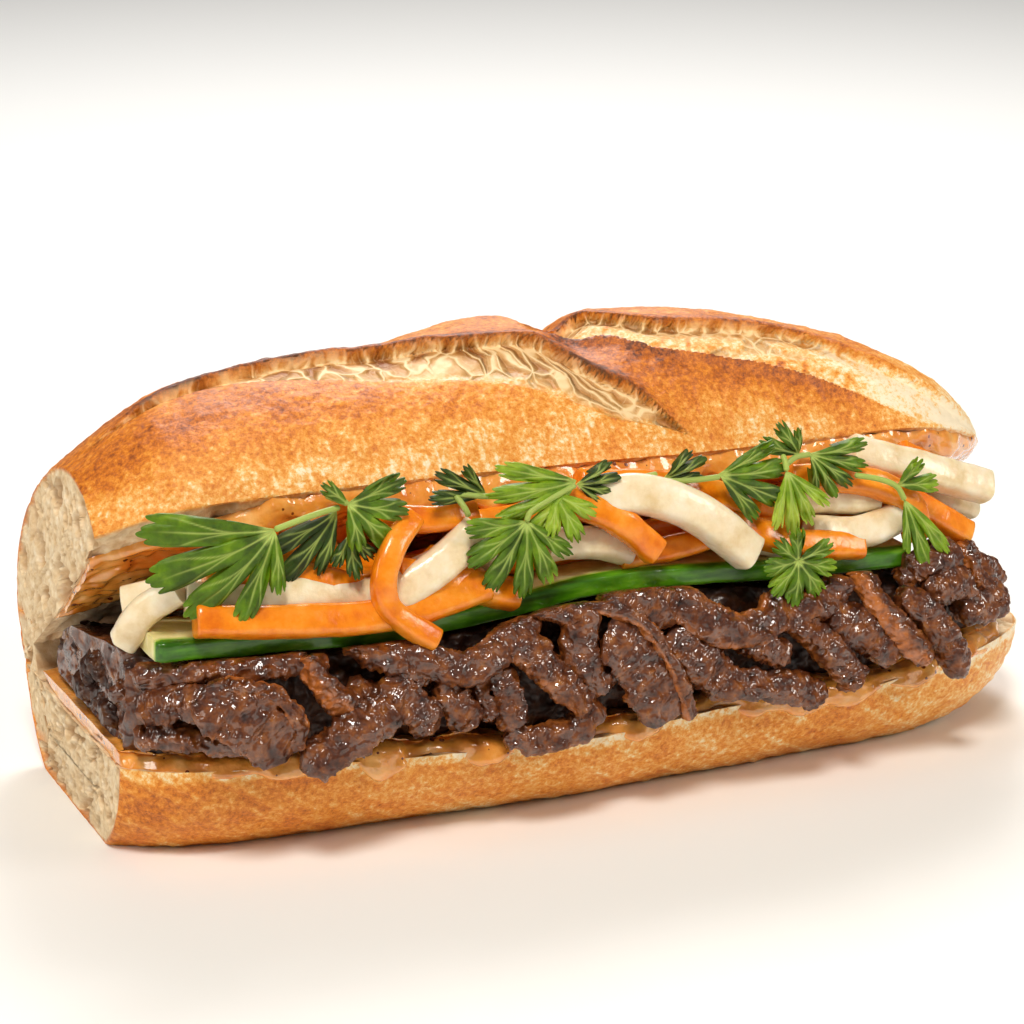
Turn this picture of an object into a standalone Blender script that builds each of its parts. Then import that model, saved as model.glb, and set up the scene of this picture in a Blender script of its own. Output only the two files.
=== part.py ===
"""Banh mi: a hinged baguette with spiced mayonnaise, grilled beef, cucumber, pickles and coriander.

Metres, +Z up, +X along the bread from its cut end to its round end, front towards -Y.
The origin is the middle of the footprint, on the surface that the bread rests on.
"""

import math

import bmesh
import bpy
from mathutils import Vector, noise

MM = 0.001
GAP = 0.3

# The layout below is in millimetres about the bread's own middle; the origin is the middle of the footprint.
FOOTPRINT_MIDDLE = (-1.25, -2.0)

# The bread: 217 mm long, cut square at -X and round at +X.
CUT_END = -108.5
BASE_TIP = 106.0
LID_TIP = 104.0
TIP_RUN = 44.0
TIP_POWER = 2.1

# The base, a slice off the bottom of the loaf. Each row is a station along X and a measure, in mm.
FRONT_RIM = ((-108.5, -33), (-102, -38.5), (-94, -42.5), (-82, -45.5), (-50, -47.5), (-10, -48.5),
             (30, -46.5), (68, -44), (109, -42))
BACK_RIM = ((-108.5, 37), (-94, 39), (-50, 40), (20, 40), (68, 38.5), (109, 36))
RIM_HEIGHT = ((-108.5, 20), (-80, 20.5), (-55, 19), (-15, 17.6), (15, 19.4), (45, 18), (88, 21.5), (109, 18.5))
LOAF_MIDDLE = 30.6
LOAF_LOW = 35.0
LOAF_POWER = 2.6

# The lid turns about the hinge. Its sections are (run from the hinge to the lip, rise off the cut).
HINGE_Y = 34.2
HINGE_Z = 24.3
LID_ANGLE = math.radians(35.0)
LID_LIP = ((-108.5, 67.5), (-100, 74), (-92, 78), (-49, 80), (-4, 78.5), (20, 77), (44, 77.5), (68, 77.5), (104, 72))
LID_BACK = ((-108.5, -5), (-90, -8), (104, -8))
LID_RISE = ((-108.5, 24), (-98, 30.5), (-88, 35.5), (-78, 38.5), (-60, 40.5), (-43, 41), (-28, 44.5),
            (-10, 47), (1, 40.5), (9, 45.6), (24, 46.6), (40, 43.8), (57, 38.5), (76, 31), (104, 22))
LID_POWER = 2.25
LID_TIP_LIFT = 7.0
LID_TIP_RUN = 40.0
LID_CUT_SAG = 3.0

# Two slanting scores in the lid, each a groove beside a raised ear: (start x, start run, end x, end run).
SCORES = ((-88, 44, 26, 56), (-4, 30, 96, 52))
SCORE_WIDTH = 7.0
SCORE_DEPTH = 2.4
EAR_RISE = 1.8

# The fillings.
SAUCE_THICK = 2.0
BEEF_TOP = 40.0
BEEF_END = 96.5
BEEF_BACK = 22.0
BEEF_OVERHANG = 5.0
BEEF_DROOPS = ((-75, 5.0), (-27, 5.0), (7, 7.0), (74, 6.5))
CUCUMBER_HEIGHT = ((-103, 45.3), (-87, 44.5), (-54, 43.3), (-30, 45.1), (-11, 47.3), (11, 46.6), (27, 45.4), (60, 44.6))
CUCUMBER_FRONT = -43.0
CUCUMBER_THICK = 4.2
CUCUMBER_DEPTH = 18.0
PICKLE_ENDS = (-98.0, 83.0)

# Coriander leaves: (name, x, y, z, width, turn in the leaf's own plane, lean out of upright, swing round Z).
LEAVES = (
    ("coriander_big_left", -91, -48.5, 61, 28, 12, -12, -10),
    ("coriander_dark_left", -72, -44, 62, 15, -10, -8, 4),
    ("coriander_light_left", -60.5, -45, 67, 18, -28, -12, 8),
    ("coriander_dark_upper", -40, -41, 69.5, 11, 60, -8, 0),
    ("coriander_middle", -31, -47, 59, 21, 6, -10, -8),
    ("coriander_middle_top", -26, -43.5, 66.5, 17, -25, -18, 10),
    ("coriander_dark_middle", -10, -43.5, 67.5, 10, 30, -10, -6),
    ("coriander_small_right", 7, -40.5, 69, 9, 40, -8, 0),
    ("coriander_big_right", 22.5, -44, 64, 20, 10, -12, -6),
    ("coriander_lobe_right", 38.5, -43.5, 57, 10, -20, -10, 6),
    ("coriander_top_right", 46, -43, 66.5, 13, -60, -16, 10),
    ("coriander_on_cucumber", 31, -48.5, 46.5, 16, 4, -24, 0),
    ("coriander_far_right", 61, -46, 54, 19, -50, -14, 10),
)
LEAF_THICK = 0.9
LEAF_LOBES = 5


def table(rows, x):
    """The smooth curve through a few (station, measure) rows, read at x."""
    if x <= rows[0][0]:
        return rows[0][1]
    if x >= rows[-1][0]:
        return rows[-1][1]
    k = max(i for i, row in enumerate(rows) if row[0] <= x)
    (x0, a), (x1, b) = rows[k], rows[k + 1]
    before = rows[max(k - 1, 0)]
    after = rows[min(k + 2, len(rows) - 1)]
    run = x1 - x0
    t = (x - x0) / run
    lead = (b - before[1]) / (x1 - before[0]) * run
    trail = (after[1] - a) / (after[0] - x0) * run
    return (
        (2 * t**3 - 3 * t**2 + 1) * a
        + (t**3 - 2 * t**2 + t) * lead
        + (3 * t**2 - 2 * t**3) * b
        + (t**3 - t**2) * trail
    )


def tip_share(x, tip, run):
    """How full the bread still is at x: 1 along its length, falling to 0 at the round tip."""
    t = max(0.0, (x - (tip - run)) / run)
    return max(0.0, 1 - t**TIP_POWER) ** (1 / TIP_POWER)


def stations(start, tip, run, straight, rounded):
    """Evenly spaced stations, then closer ones towards a round tip. The tip itself is left out."""
    shoulder = tip - run
    steps = [start + (shoulder - start) * i / straight for i in range(straight)]
    steps += [shoulder + run * math.sin(math.pi / 2 * i / rounded) for i in range(rounded)]
    return steps


def rim_height(x):
    return table(RIM_HEIGHT, x)


def base_half_width(x, z):
    """The share of its full half width that the loaf has at height z."""
    drop = (LOAF_MIDDLE - z) / LOAF_LOW
    return max(0.0, 1 - abs(drop) ** LOAF_POWER) ** (1 / LOAF_POWER)


def base_section(x, wall=8, face=10):
    """The base's outline at x: down the front, along the flat bottom, up the back, then across the cut."""
    share = tip_share(x, BASE_TIP, TIP_RUN)
    rim = rim_height(x)
    front, back = table(FRONT_RIM, x), table(BACK_RIM, x)
    middle = (front + back) / 2
    half = (back - front) / 2 * share / base_half_width(x, rim)
    outline = []
    for side in (-1, 1):
        side_wall = []
        for i in range(wall + 1):
            depth = rim * math.sin(math.pi / 2 * i / wall) if i < wall else rim
            width = base_half_width(x, rim - depth)
            side_wall.append((middle + side * half * width, rim - depth * share**0.8))
        outline += side_wall if side < 0 else side_wall[::-1]
    ends = outline[-1], outline[0]
    for i in range(1, face):
        t = i / face
        y = ends[0][0] + (ends[1][0] - ends[0][0]) * t
        outline.append((y, rim - 0.8 * math.sin(math.pi * t) * share))
    return outline


def lid_to_world(run, rise):
    """A point of the lid's section, (run from the hinge, rise off the cut), as (y, z)."""
    y = HINGE_Y - run * math.cos(LID_ANGLE) + rise * math.sin(LID_ANGLE)
    z = HINGE_Z + run * math.sin(LID_ANGLE) + rise * math.cos(LID_ANGLE)
    return y, z


def score_relief(x, run):
    """The groove and ear of each score, as a rise off the plain crust."""
    rise = 0.0
    for x0, run0, x1, run1 in SCORES:
        along = (x - x0) / (x1 - x0)
        across = run - (run0 + (run1 - run0) * along)
        fade = max(0.0, 1 - abs(2 * along - 1) ** 4)
        rise -= SCORE_DEPTH * fade * math.exp(-((across / SCORE_WIDTH) ** 2))
        rise += EAR_RISE * fade * math.exp(-(((across + 1.6 * SCORE_WIDTH) / SCORE_WIDTH) ** 2))
    return rise


def lid_measures(x):
    """The lid at x: the middle run, the half run, the full rise and the lift of its cut face."""
    share = tip_share(x, LID_TIP, LID_TIP_RUN)
    lip = table(LID_LIP, x)
    back = table(LID_BACK, x)
    lift = LID_TIP_LIFT * (1 - share) ** 1.2
    return (lip + back) / 2, (lip - back) / 2 * share, table(LID_RISE, x) * share, lift


def lid_section(x, dome=22, face=12):
    """The lid's outline at x: over the crust from the hinge to the lip, then back along the cut face."""
    middle, half, full, lift = lid_measures(x)
    outline = []
    for i in range(dome + 1):
        angle = math.pi * i / dome
        run = middle - half * math.copysign(abs(math.cos(angle)) ** (2 / LID_POWER), math.cos(angle))
        rise = full * math.sin(angle) ** (2 / LID_POWER)
        rise += score_relief(x, run) * math.sin(angle) * full / 45
        outline.append(lid_to_world(run, lift + rise))
    for i in range(1, face):
        t = i / face
        sag = LID_CUT_SAG * math.sin(math.pi * t**0.7) * half / 44
        outline.append(lid_to_world(middle + half * (1 - 2 * t), lift - sag))
    return outline


def loft(name, sections, tip=None):
    """A closed solid through (x, outline) sections, flat at its first end and at its last, or pointed at tip."""
    bm = bmesh.new()
    rings = [[bm.verts.new((x * MM, y * MM, z * MM)) for y, z in outline] for x, outline in sections]
    bm.faces.new(rings[0])
    for ring, following in zip(rings, rings[1:]):
        bridge(bm, ring, following)
    if tip is None:
        bm.faces.new(rings[-1][::-1])
    else:
        point = bm.verts.new([c * MM for c in tip])
        last = rings[-1]
        for a, b in zip(last, last[1:] + last[:1]):
            bm.faces.new((a, b, point))
    return finish_mesh(name, bm)


def bridge(bm, ring, following):
    """Quads from one ring of points to the next."""
    for i, point in enumerate(ring):
        after = (i + 1) % len(ring)
        bm.faces.new((point, following[i], following[after], ring[after]))


def finish_mesh(name, bm):
    """Turns the faces outwards and makes the mesh an object."""
    bmesh.ops.triangulate(bm, faces=bm.faces[:], quad_method="BEAUTY", ngon_method="BEAUTY")
    bmesh.ops.recalc_face_normals(bm, faces=bm.faces[:])
    mesh = bpy.data.meshes.new(name)
    bm.to_mesh(mesh)
    bm.free()
    mesh.shade_smooth()
    mesh.set_sharp_from_angle(angle=math.radians(40))
    part = bpy.data.objects.new(name, mesh)
    part.location = (-FOOTPRINT_MIDDLE[0] * MM, -FOOTPRINT_MIDDLE[1] * MM, 0)
    bpy.context.scene.collection.objects.link(part)
    return part


def finish_material(part, name, colour, roughness):
    """Gives the piece its own Principled material."""
    material = bpy.data.materials.new(name)
    material.use_nodes = True
    shader = material.node_tree.nodes["Principled BSDF"]
    shader.inputs["Base Color"].default_value = (*colour, 1)
    shader.inputs["Roughness"].default_value = roughness
    shader.inputs["Metallic"].default_value = 0
    part.data.materials.append(material)


def join_into(target, other, name):
    """Unites another solid with the target, and hides the other."""
    union = target.modifiers.new(name, "BOOLEAN")
    union.operation = "UNION"
    union.object = other
    other.hide_render = True
    other.display_type = "WIRE"


def make_loaf():
    """The bread: base and lid, joined by the strip of crust and crumb left uncut along the back."""
    base_steps = stations(CUT_END, BASE_TIP, TIP_RUN, 18, 9)
    lid_steps = stations(CUT_END, LID_TIP, LID_TIP_RUN, 26, 9)
    tip_middle = (table(FRONT_RIM, BASE_TIP) + table(BACK_RIM, BASE_TIP)) / 2
    base = loft("loaf", [(x, base_section(x)) for x in base_steps], (BASE_TIP, tip_middle, rim_height(BASE_TIP)))
    middle, _, _, lift = lid_measures(LID_TIP)
    lid = loft("loaf_lid", [(x, lid_section(x)) for x in lid_steps], (LID_TIP, *lid_to_world(middle, lift)))
    hinge = loft("loaf_hinge", [(x, hinge_section(x)) for x in hinge_stations()])
    join_into(base, lid, "lid")
    join_into(base, hinge, "hinge")
    finish_material(base, "baked_crust", (0.72, 0.40, 0.14), 0.55)


def hinge_stations():
    """The uncut strip runs from the cut end to where the round end turns away from the back."""
    last = BASE_TIP - TIP_RUN + 12
    return [CUT_END + (last - CUT_END) * i / 12 for i in range(13)]


def hinge_section(x):
    """A thick round fold of bread from the back of the base to the back of the lid."""
    back = table(BACK_RIM, x)
    end = 1 - max(0.0, (x - 50) / 24.5) ** 2 * 0.45
    outline = []
    for i in range(12):
        angle = 2 * math.pi * i / 12
        y = back - 4.5 + (6.0 * math.cos(angle)) * end
        z = HINGE_Z - 3.0 + (10.5 * math.sin(angle)) * end
        outline.append((y, z))
    return outline


def make_sauce_on_base():
    """Spiced mayonnaise spread over the cut face of the base, out to its rim."""
    sections = []
    for i in range(33):
        x = CUT_END + 1.0 + (BASE_TIP - 15 - CUT_END) * i / 32
        share = tip_share(x, BASE_TIP, TIP_RUN)
        front, back = table(FRONT_RIM, x), table(BACK_RIM, x)
        middle = (front + back) / 2
        y0 = middle + (front - middle) * share + 1.8 + 0.7 * math.sin(0.35 * x)
        y1 = BEEF_BACK + 4 * share
        low = rim_height(x) + GAP
        sections.append((x, slab(y0, y1, low, low + SAUCE_THICK)))
    part = loft("sauce_on_base", sections)
    finish_material(part, "spiced_mayonnaise", (0.80, 0.42, 0.17), 0.3)


def slab(y0, y1, low, high):
    """A flat layer's outline with soft long edges."""
    soft = (high - low) / 2
    return [(y0 + soft, low), (y1 - soft, low), (y1, low + soft), (y1 - soft, high), (y0 + soft, high), (y0, low + soft)]


def make_sauce_on_lid():
    """The same mayonnaise on the cut face of the lid, with a thicker bead along the lip."""
    start, end = CUT_END + 2.0, LID_TIP - 10.0
    sections = []
    for i in range(31):
        x = start + (end - start) * i / 30
        middle, half, _, lift = lid_measures(x)
        lip = middle + half - 1.5 + 0.8 * math.sin(0.4 * x)
        inner = middle - 0.1 * half
        bead = SAUCE_THICK * (0.4 + 0.4 * math.sin(0.23 * x + 1.0))
        upper, lower = [], []
        for k in range(7):
            run = lip - (lip - inner) * k / 6
            rise = lift - sag_at(run, middle, half) - 0.6
            hang = min(SAUCE_THICK, 1.6 * k) + bead * math.exp(-(((lip - run - 6) / 5) ** 2)) * min(k, 1)
            upper.append(lid_to_world(run, rise))
            lower.append(lid_to_world(run, rise - hang))
        sections.append((x, lower + upper[:0:-1]))
    part = loft("sauce_on_lid", sections)
    finish_material(part, "spiced_mayonnaise_lid", (0.80, 0.42, 0.17), 0.3)


def sag_at(run, middle, half):
    """How far the lid's cut face bulges down at a run from the hinge."""
    t = min(1.0, max(0.0, (middle + half - run) / (2 * half)))
    return LID_CUT_SAG * math.sin(math.pi * t**0.7) * half / 44


def lid_underside(y):
    """The height of the lid's cut plane above y."""
    return HINGE_Z + (HINGE_Y - y) * math.tan(LID_ANGLE)


def lump(x, y, size):
    """Even, repeatable unevenness between -1 and 1."""
    return noise.noise(Vector((x / size, y / size, 3.7)))


def beef_section(x):
    """The heap's outline at x: along its underside, round the drooping front, over the top to the back."""
    share = tip_share(x, BASE_TIP, TIP_RUN)
    front, back = table(FRONT_RIM, x), table(BACK_RIM, x)
    middle = (front + back) / 2
    rim = middle + (front - middle) * share
    low = rim_height(x) + 2 * GAP + SAUCE_THICK
    droop = sum(deep * math.exp(-(((x - at) / 5.5) ** 2)) for at, deep in BEEF_DROOPS)
    top = low + (BEEF_TOP - low) * (0.55 + 0.45 * share) + 2.0 * lump(x, 40, 8)
    outline = [(BEEF_BACK * share - 2, low), (rim + 14, low), (rim + 3, low), (rim - 1.0, low)]
    outline += [(rim - 1.4, low - 0.6 * droop), (rim - 2.6, low - 1.0 - droop), (rim - 4.4, low - 0.2 - droop)]
    for k in range(5):
        rise = k / 4
        bulge = BEEF_OVERHANG * share + 1.2 * math.sin(math.pi * rise) - 4.5 * rise**3 + 2.6 * lump(x, 30 * rise, 7)
        outline.append((rim - bulge, low + 2.5 - 0.6 * droop * (1 - rise) + (top - low - 5.0) * rise))
    for k in range(6):
        y = rim + 3 + (BEEF_BACK * share - 3 - rim) * k / 5
        ceiling = min(lid_underside(y) - (9 if y < 12 else 5), cucumber_low(x) - 0.4)
        outline.append((y, min(top + 1.8 * lump(x, y, 7), ceiling)))
    outline.append((BEEF_BACK * share + 1, low + 1.5))
    return outline


def make_beef():
    """A heap of grilled beef strips, out to its uneven outline, hanging over the rim in four places."""
    start = CUT_END + 1
    xs = [start + (BEEF_END - start) * i / 56 for i in range(57)]
    part = loft("beef", [(x, beef_section(x)) for x in xs])
    finish_material(part, "grilled_beef", (0.09, 0.035, 0.018), 0.4)


def cucumber_low(x):
    """The height of the cucumber's underside at x."""
    return table(CUCUMBER_HEIGHT, x) - CUCUMBER_THICK / 2


def make_cucumber():
    """One long slice of cucumber, green skin to the front, lying along the beef."""
    start, end = CUCUMBER_HEIGHT[0][0], CUCUMBER_HEIGHT[-1][0]
    sections = []
    for i in range(25):
        x = start + (end - start) * i / 24
        z = table(CUCUMBER_HEIGHT, x)
        outline = []
        for k in range(12):
            angle = 2 * math.pi * k / 12
            c, s = math.cos(angle), math.sin(angle)
            run = CUCUMBER_DEPTH / 2 * math.copysign(abs(c) ** 0.4, c)
            rise = CUCUMBER_THICK / 2 * math.copysign(abs(s) ** 0.6, s)
            outline.append((CUCUMBER_FRONT + CUCUMBER_DEPTH / 2 + run, z + rise))
        sections.append((x, outline))
    part = loft("cucumber", sections)
    finish_material(part, "cucumber", (0.20, 0.38, 0.07), 0.35)


def pickle_section(x):
    """The bundle's outline at x: over the cucumber, up the uneven front and back under the lid."""
    t = (x - PICKLE_ENDS[0]) / (PICKLE_ENDS[1] - PICKLE_ENDS[0])
    end = min(1.0, 0.45 + 2.2 * math.sin(math.pi * min(max(t, 0), 1)))
    low = cucumber_low(x) + CUCUMBER_THICK + 0.6
    front = CUCUMBER_FRONT + 5.0 + 1.2 * lump(x, 5, 8)
    outline = [(front + 26, low), (front + 12, low), (front + 3, low), (front, low + 3)]
    tall = (lid_underside(front) - 9 - low) * end
    outline += [(front - 1.0 + lump(x, 9, 6), low + tall * 0.4), (front + lump(x, 15, 6), low + tall * 0.8)]
    for k in range(5):
        y = front + 3 + 24 * k / 4
        outline.append((y, low + (lid_underside(y) - 9 - low) * end + 0.8 * lump(x, y, 6)))
    return outline


def make_pickles():
    """A loose bundle of pickled carrot and daikon sticks, out to its uneven outline."""
    xs = [PICKLE_ENDS[0] + (PICKLE_ENDS[1] - PICKLE_ENDS[0]) * i / 40 for i in range(41)]
    part = loft("pickles", [(x, pickle_section(x)) for x in xs])
    finish_material(part, "pickled_carrot_and_daikon", (0.86, 0.52, 0.20), 0.3)


def leaf_reach(angle):
    """A coriander leaf's outline: broad lobes with notches between them, and a gap at the stalk."""
    lobes = 0.80 + 0.20 * abs(math.cos(angle * LEAF_LOBES / 2))
    teeth = 0.05 * math.cos(angle * LEAF_LOBES * 3)
    stalk = 1 - 0.55 * math.exp(-(((abs(angle) - math.pi) / 0.35) ** 2))
    return (lobes + teeth) * stalk


def make_leaf(name, x, y, z, width, turn, lean, swing):
    """One thin lobed leaf standing at the front of the filling."""
    bm = bmesh.new()
    points = []
    steps = 30
    for i in range(steps):
        angle = 2 * math.pi * i / steps - math.pi
        reach = leaf_reach(angle) * width / 2
        points.append(bm.verts.new((reach * math.sin(angle) * MM, 0, reach * math.cos(angle) * MM)))
    face = bm.faces.new(points)
    extruded = bmesh.ops.extrude_face_region(bm, geom=[face])
    moved = [item for item in extruded["geom"] if isinstance(item, bmesh.types.BMVert)]
    bmesh.ops.translate(bm, verts=moved, vec=(0, LEAF_THICK * MM, 0))
    part = finish_mesh(name, bm)
    part.location += Vector((x, y, z)) * MM
    part.rotation_euler = (math.radians(lean), math.radians(180 + turn), math.radians(swing))
    finish_material(part, name, (0.10, 0.26, 0.05), 0.45)


def clear_scene():
    for item in list(bpy.data.objects):
        bpy.data.objects.remove(item, do_unlink=True)


clear_scene()
make_loaf()
make_sauce_on_base()
make_sauce_on_lid()
make_beef()
make_cucumber()
make_pickles()
for leaf in LEAVES:
    make_leaf(*leaf)
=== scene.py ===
import math

import bmesh
import bpy
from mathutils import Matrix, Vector, noise


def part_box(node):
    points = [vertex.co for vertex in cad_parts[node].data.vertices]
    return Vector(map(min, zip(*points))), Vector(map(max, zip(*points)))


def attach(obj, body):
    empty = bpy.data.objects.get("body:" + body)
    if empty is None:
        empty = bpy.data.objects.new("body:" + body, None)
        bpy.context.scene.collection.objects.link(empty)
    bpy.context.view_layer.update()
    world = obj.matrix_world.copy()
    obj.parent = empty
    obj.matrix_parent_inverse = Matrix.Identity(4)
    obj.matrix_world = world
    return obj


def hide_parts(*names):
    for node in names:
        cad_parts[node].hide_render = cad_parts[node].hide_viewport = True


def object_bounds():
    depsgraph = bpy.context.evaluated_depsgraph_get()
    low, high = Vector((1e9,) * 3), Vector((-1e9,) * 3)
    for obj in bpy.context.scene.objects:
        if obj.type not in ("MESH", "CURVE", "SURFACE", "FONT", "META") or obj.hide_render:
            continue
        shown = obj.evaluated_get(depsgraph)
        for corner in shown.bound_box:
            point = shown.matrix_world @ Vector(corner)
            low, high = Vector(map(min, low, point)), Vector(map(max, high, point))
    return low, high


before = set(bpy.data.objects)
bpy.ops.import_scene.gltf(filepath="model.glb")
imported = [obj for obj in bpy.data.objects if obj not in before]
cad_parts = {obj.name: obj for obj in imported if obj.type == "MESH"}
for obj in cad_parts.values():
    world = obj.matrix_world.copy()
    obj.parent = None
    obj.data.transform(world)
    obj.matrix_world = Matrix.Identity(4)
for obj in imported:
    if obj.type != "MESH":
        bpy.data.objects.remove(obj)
cad_low, cad_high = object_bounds()

# ---- Stage: a pale floor, soft studio light, and the camera at a low three-quarter angle.
# The floor is a plain painted board. The large lamps stand for soft boxes: the key is above the left front,
# and one hangs over the board behind the bread.
MM = 0.001


def linear(code):
    """An sRGB hex colour as the linear RGBA that shaders take."""
    parts = [int(code[i:i + 2], 16) / 255 for i in (0, 2, 4)]
    return tuple(c / 12.92 if c <= 0.04045 else ((c + 0.055) / 1.055) ** 2.4 for c in parts) + (1.0,)


def add(tree, kind, inputs=None, stops=None, **settings):
    """Adds a node, sets its properties, and fills its sockets from a node, from a socket or with a value."""
    made = tree.nodes.new("ShaderNode" + kind)
    for name, value in settings.items():
        setattr(made, name, value)
    for key, value in (inputs or {}).items():
        if isinstance(value, bpy.types.Node):
            value = next(socket for socket in value.outputs if socket.enabled)
        if isinstance(value, bpy.types.NodeSocket):
            tree.links.new(value, made.inputs[key])
        else:
            made.inputs[key].default_value = value
    if stops:
        elements = made.color_ramp.elements
        while len(elements) < len(stops):
            elements.new(0.5)
        for element, (position, colour) in zip(elements, stops):
            element.position = position
            element.color = linear(colour) if isinstance(colour, str) else (colour, colour, colour, 1)
    return made


def new_material(name):
    """An empty material: (material, its node tree, its shader)."""
    made = bpy.data.materials.new(name)
    made.use_nodes = True
    return made, made.node_tree, made.node_tree.nodes["Principled BSDF"]


floor_paint, tree, shader = new_material("matt_white_paint")
shader.inputs["Base Color"].default_value = linear("f4f2ee")
shader.inputs["Roughness"].default_value = 0.8
bm = bmesh.new()
bmesh.ops.create_grid(bm, x_segments=1, y_segments=1, size=6.0)
floor_mesh = bpy.data.meshes.new("floor")
bm.to_mesh(floor_mesh)
bm.free()
floor_mesh.materials.append(floor_paint)
floor = bpy.data.objects.new("floor", floor_mesh)
bpy.context.scene.collection.objects.link(floor)

# Lamps: (name, place, what it is aimed at, size, watts, colour).
FILLING = (0, -0.01, 0.045)
BOARD_BEHIND = (0.45, 1.15, 0)
LAMPS = (
    ("key", (-0.35, -0.62, 1.10), FILLING, 0.32, 11.0, "fffaf2"),
    ("fill", (0.85, -0.75, 0.65), FILLING, 0.40, 4.5, "fff8ee"),
    ("back", (0.35, 0.80, 0.95), FILLING, 0.40, 6.0, "ffffff"),
    ("side", (-1.00, -0.10, 0.50), FILLING, 0.40, 2.5, "fff8ee"),
    ("backdrop", (0.55, 1.35, 1.30), BOARD_BEHIND, 1.30, 13.0, "ffffff"),
)
for name, place, target, size, watts, colour in LAMPS:
    lamp = bpy.data.lights.new(name, "AREA")
    lamp.shape = "DISK"
    lamp.size = size
    lamp.energy = watts
    lamp.color = linear(colour)[:3]
    holder = bpy.data.objects.new(name, lamp)
    holder.location = place
    holder.rotation_euler = (Vector(target) - Vector(place)).to_track_quat("-Z", "Y").to_euler()
    bpy.context.scene.collection.objects.link(holder)

world = bpy.data.worlds.new("studio")
bpy.context.scene.world = world
world.use_nodes = True
world.node_tree.nodes["Background"].inputs["Color"].default_value = linear("fbfaf8")
world.node_tree.nodes["Background"].inputs["Strength"].default_value = 0.14
bpy.context.scene.view_settings.view_transform = "Standard"

CAMERA_PLACE = (-0.24645, -0.52765, 0.2125)
CAMERA_TURN = (74.5, 0.0, -24.0)
lens = bpy.data.cameras.new("camera")
lens.lens = 100
lens.sensor_width = 36
camera = bpy.data.objects.new("camera", lens)
camera.location = CAMERA_PLACE
camera.rotation_euler = [math.radians(a) for a in CAMERA_TURN]
bpy.context.scene.collection.objects.link(camera)
bpy.context.scene.camera = camera

# ---- Bread: one length of baguette, cut square at its left end, slit along the front and opened like a book.
# Lean wheat dough baked on a hot floor: a thin glassy crust over an open, springy crumb. The lid carries two
# slanting scores, which burst open in the oven into webs of stretched dough under a raised, darker ear.
CUT_END = -108.5
BASE_TIP = 106.0
LID_TIP = 104.0
BASE_TIP_RUN = 44.0
LID_TIP_RUN = 40.0
TIP_POWER = 2.1
FRONT_RIM = ((-108.5, -33), (-102, -38.5), (-94, -42.5), (-82, -45.5), (-50, -47.5), (-10, -48.5),
             (30, -46.5), (68, -44), (109, -42))
BACK_RIM = ((-108.5, 37), (-94, 39), (-50, 40), (20, 40), (68, 38.5), (109, 36))
RIM_HEIGHT = ((-108.5, 20), (-80, 20.5), (-55, 19), (-15, 17.6), (15, 19.4), (45, 18), (88, 21.5),
              (109, 18.5))
LOAF_MIDDLE = 30.6
LOAF_LOW = 35.0
LOAF_POWER = 2.6
HINGE_Y = 34.2
HINGE_Z = 24.3
LID_ANGLE = math.radians(35.0)
LID_LIP = ((-108.5, 67.5), (-100, 74), (-92, 78), (-49, 80), (-4, 78.5), (20, 77), (44, 77.5), (68, 77.5),
           (104, 72))
LID_BACK = ((-108.5, -5), (-90, -8), (104, -8))
LID_RISE = ((-108.5, 24), (-98, 30.5), (-88, 35.5), (-78, 38.5), (-60, 40.5), (-43, 41), (-28, 44.5),
            (-10, 47), (1, 40.5), (9, 45.6), (24, 46.6), (40, 43.8), (57, 38.5), (76, 31), (104, 22))
LID_POWER = 2.25
LID_TIP_LIFT = 7.0
LID_CUT_SAG = 3.0

# The edges of the two scores as (station along the bread, degrees up the lid's curve from its lip).
FIRST_LOW = ((-104, 47), (-80, 43), (-60, 35), (-30, 25), (0, 10), (16, 3))
FIRST_HIGH = ((-104, 48), (-80, 51), (-45, 53), (-25, 43), (-5, 34), (16, 4))
SECOND_LOW = ((-9, 43), (0, 47), (15, 30), (45, 18), (72, 0))
SECOND_HIGH = ((-9, 60), (5, 60), (20, 43), (50, 39), (70, 23), (92, 4))
PORE = 6.5
WEB_WIDE = 6.0
WEB_TALL = 9.0

# The bread's own frame is in millimetres about its middle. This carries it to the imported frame's origin.
SHIFT = Vector((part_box("loaf")[0].x / MM - CUT_END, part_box("cucumber")[0].y / MM + 43.0, 0))


def table(rows, x):
    """The smooth curve through a few (station, measure) rows, read at x."""
    if x <= rows[0][0]:
        return rows[0][1]
    if x >= rows[-1][0]:
        return rows[-1][1]
    k = max(i for i, row in enumerate(rows) if row[0] <= x)
    (x0, a), (x1, b) = rows[k], rows[k + 1]
    before, after = rows[max(k - 1, 0)], rows[min(k + 2, len(rows) - 1)]
    run = x1 - x0
    t = (x - x0) / run
    lead = (b - before[1]) / (x1 - before[0]) * run
    trail = (after[1] - a) / (after[0] - x0) * run
    curve = (2 * t**3 - 3 * t**2 + 1) * a + (t**3 - 2 * t**2 + t) * lead
    return curve + (3 * t**2 - 2 * t**3) * b + (t**3 - t**2) * trail


def ease(low, high, x):
    """0 below low, 1 above high, and a soft step between. High may be the smaller one."""
    t = min(1.0, max(0.0, (x - low) / (high - low)))
    return t * t * (3 - 2 * t)


def rough(x, y, z, size, octaves=1):
    """Even, repeatable unevenness about 0 with lumps of the size given in mm."""
    place = Vector((x / size, y / size, z / size))
    return noise.fractal(place, 0.9, 2.0, octaves) if octaves > 1 else noise.noise(place)


def tip_share(x, tip, run):
    """How full the bread still is at x: 1 along its length, falling to 0 at the round tip."""
    t = min(1.0, max(0.0, (x - (tip - run)) / run))
    return max(0.0, 1 - t**TIP_POWER) ** (1 / TIP_POWER)


def base_half_width(z):
    """The share of its full half width that the loaf has at height z."""
    return max(0.0, 1 - (abs(LOAF_MIDDLE - z) / LOAF_LOW) ** LOAF_POWER) ** (1 / LOAF_POWER)


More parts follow.
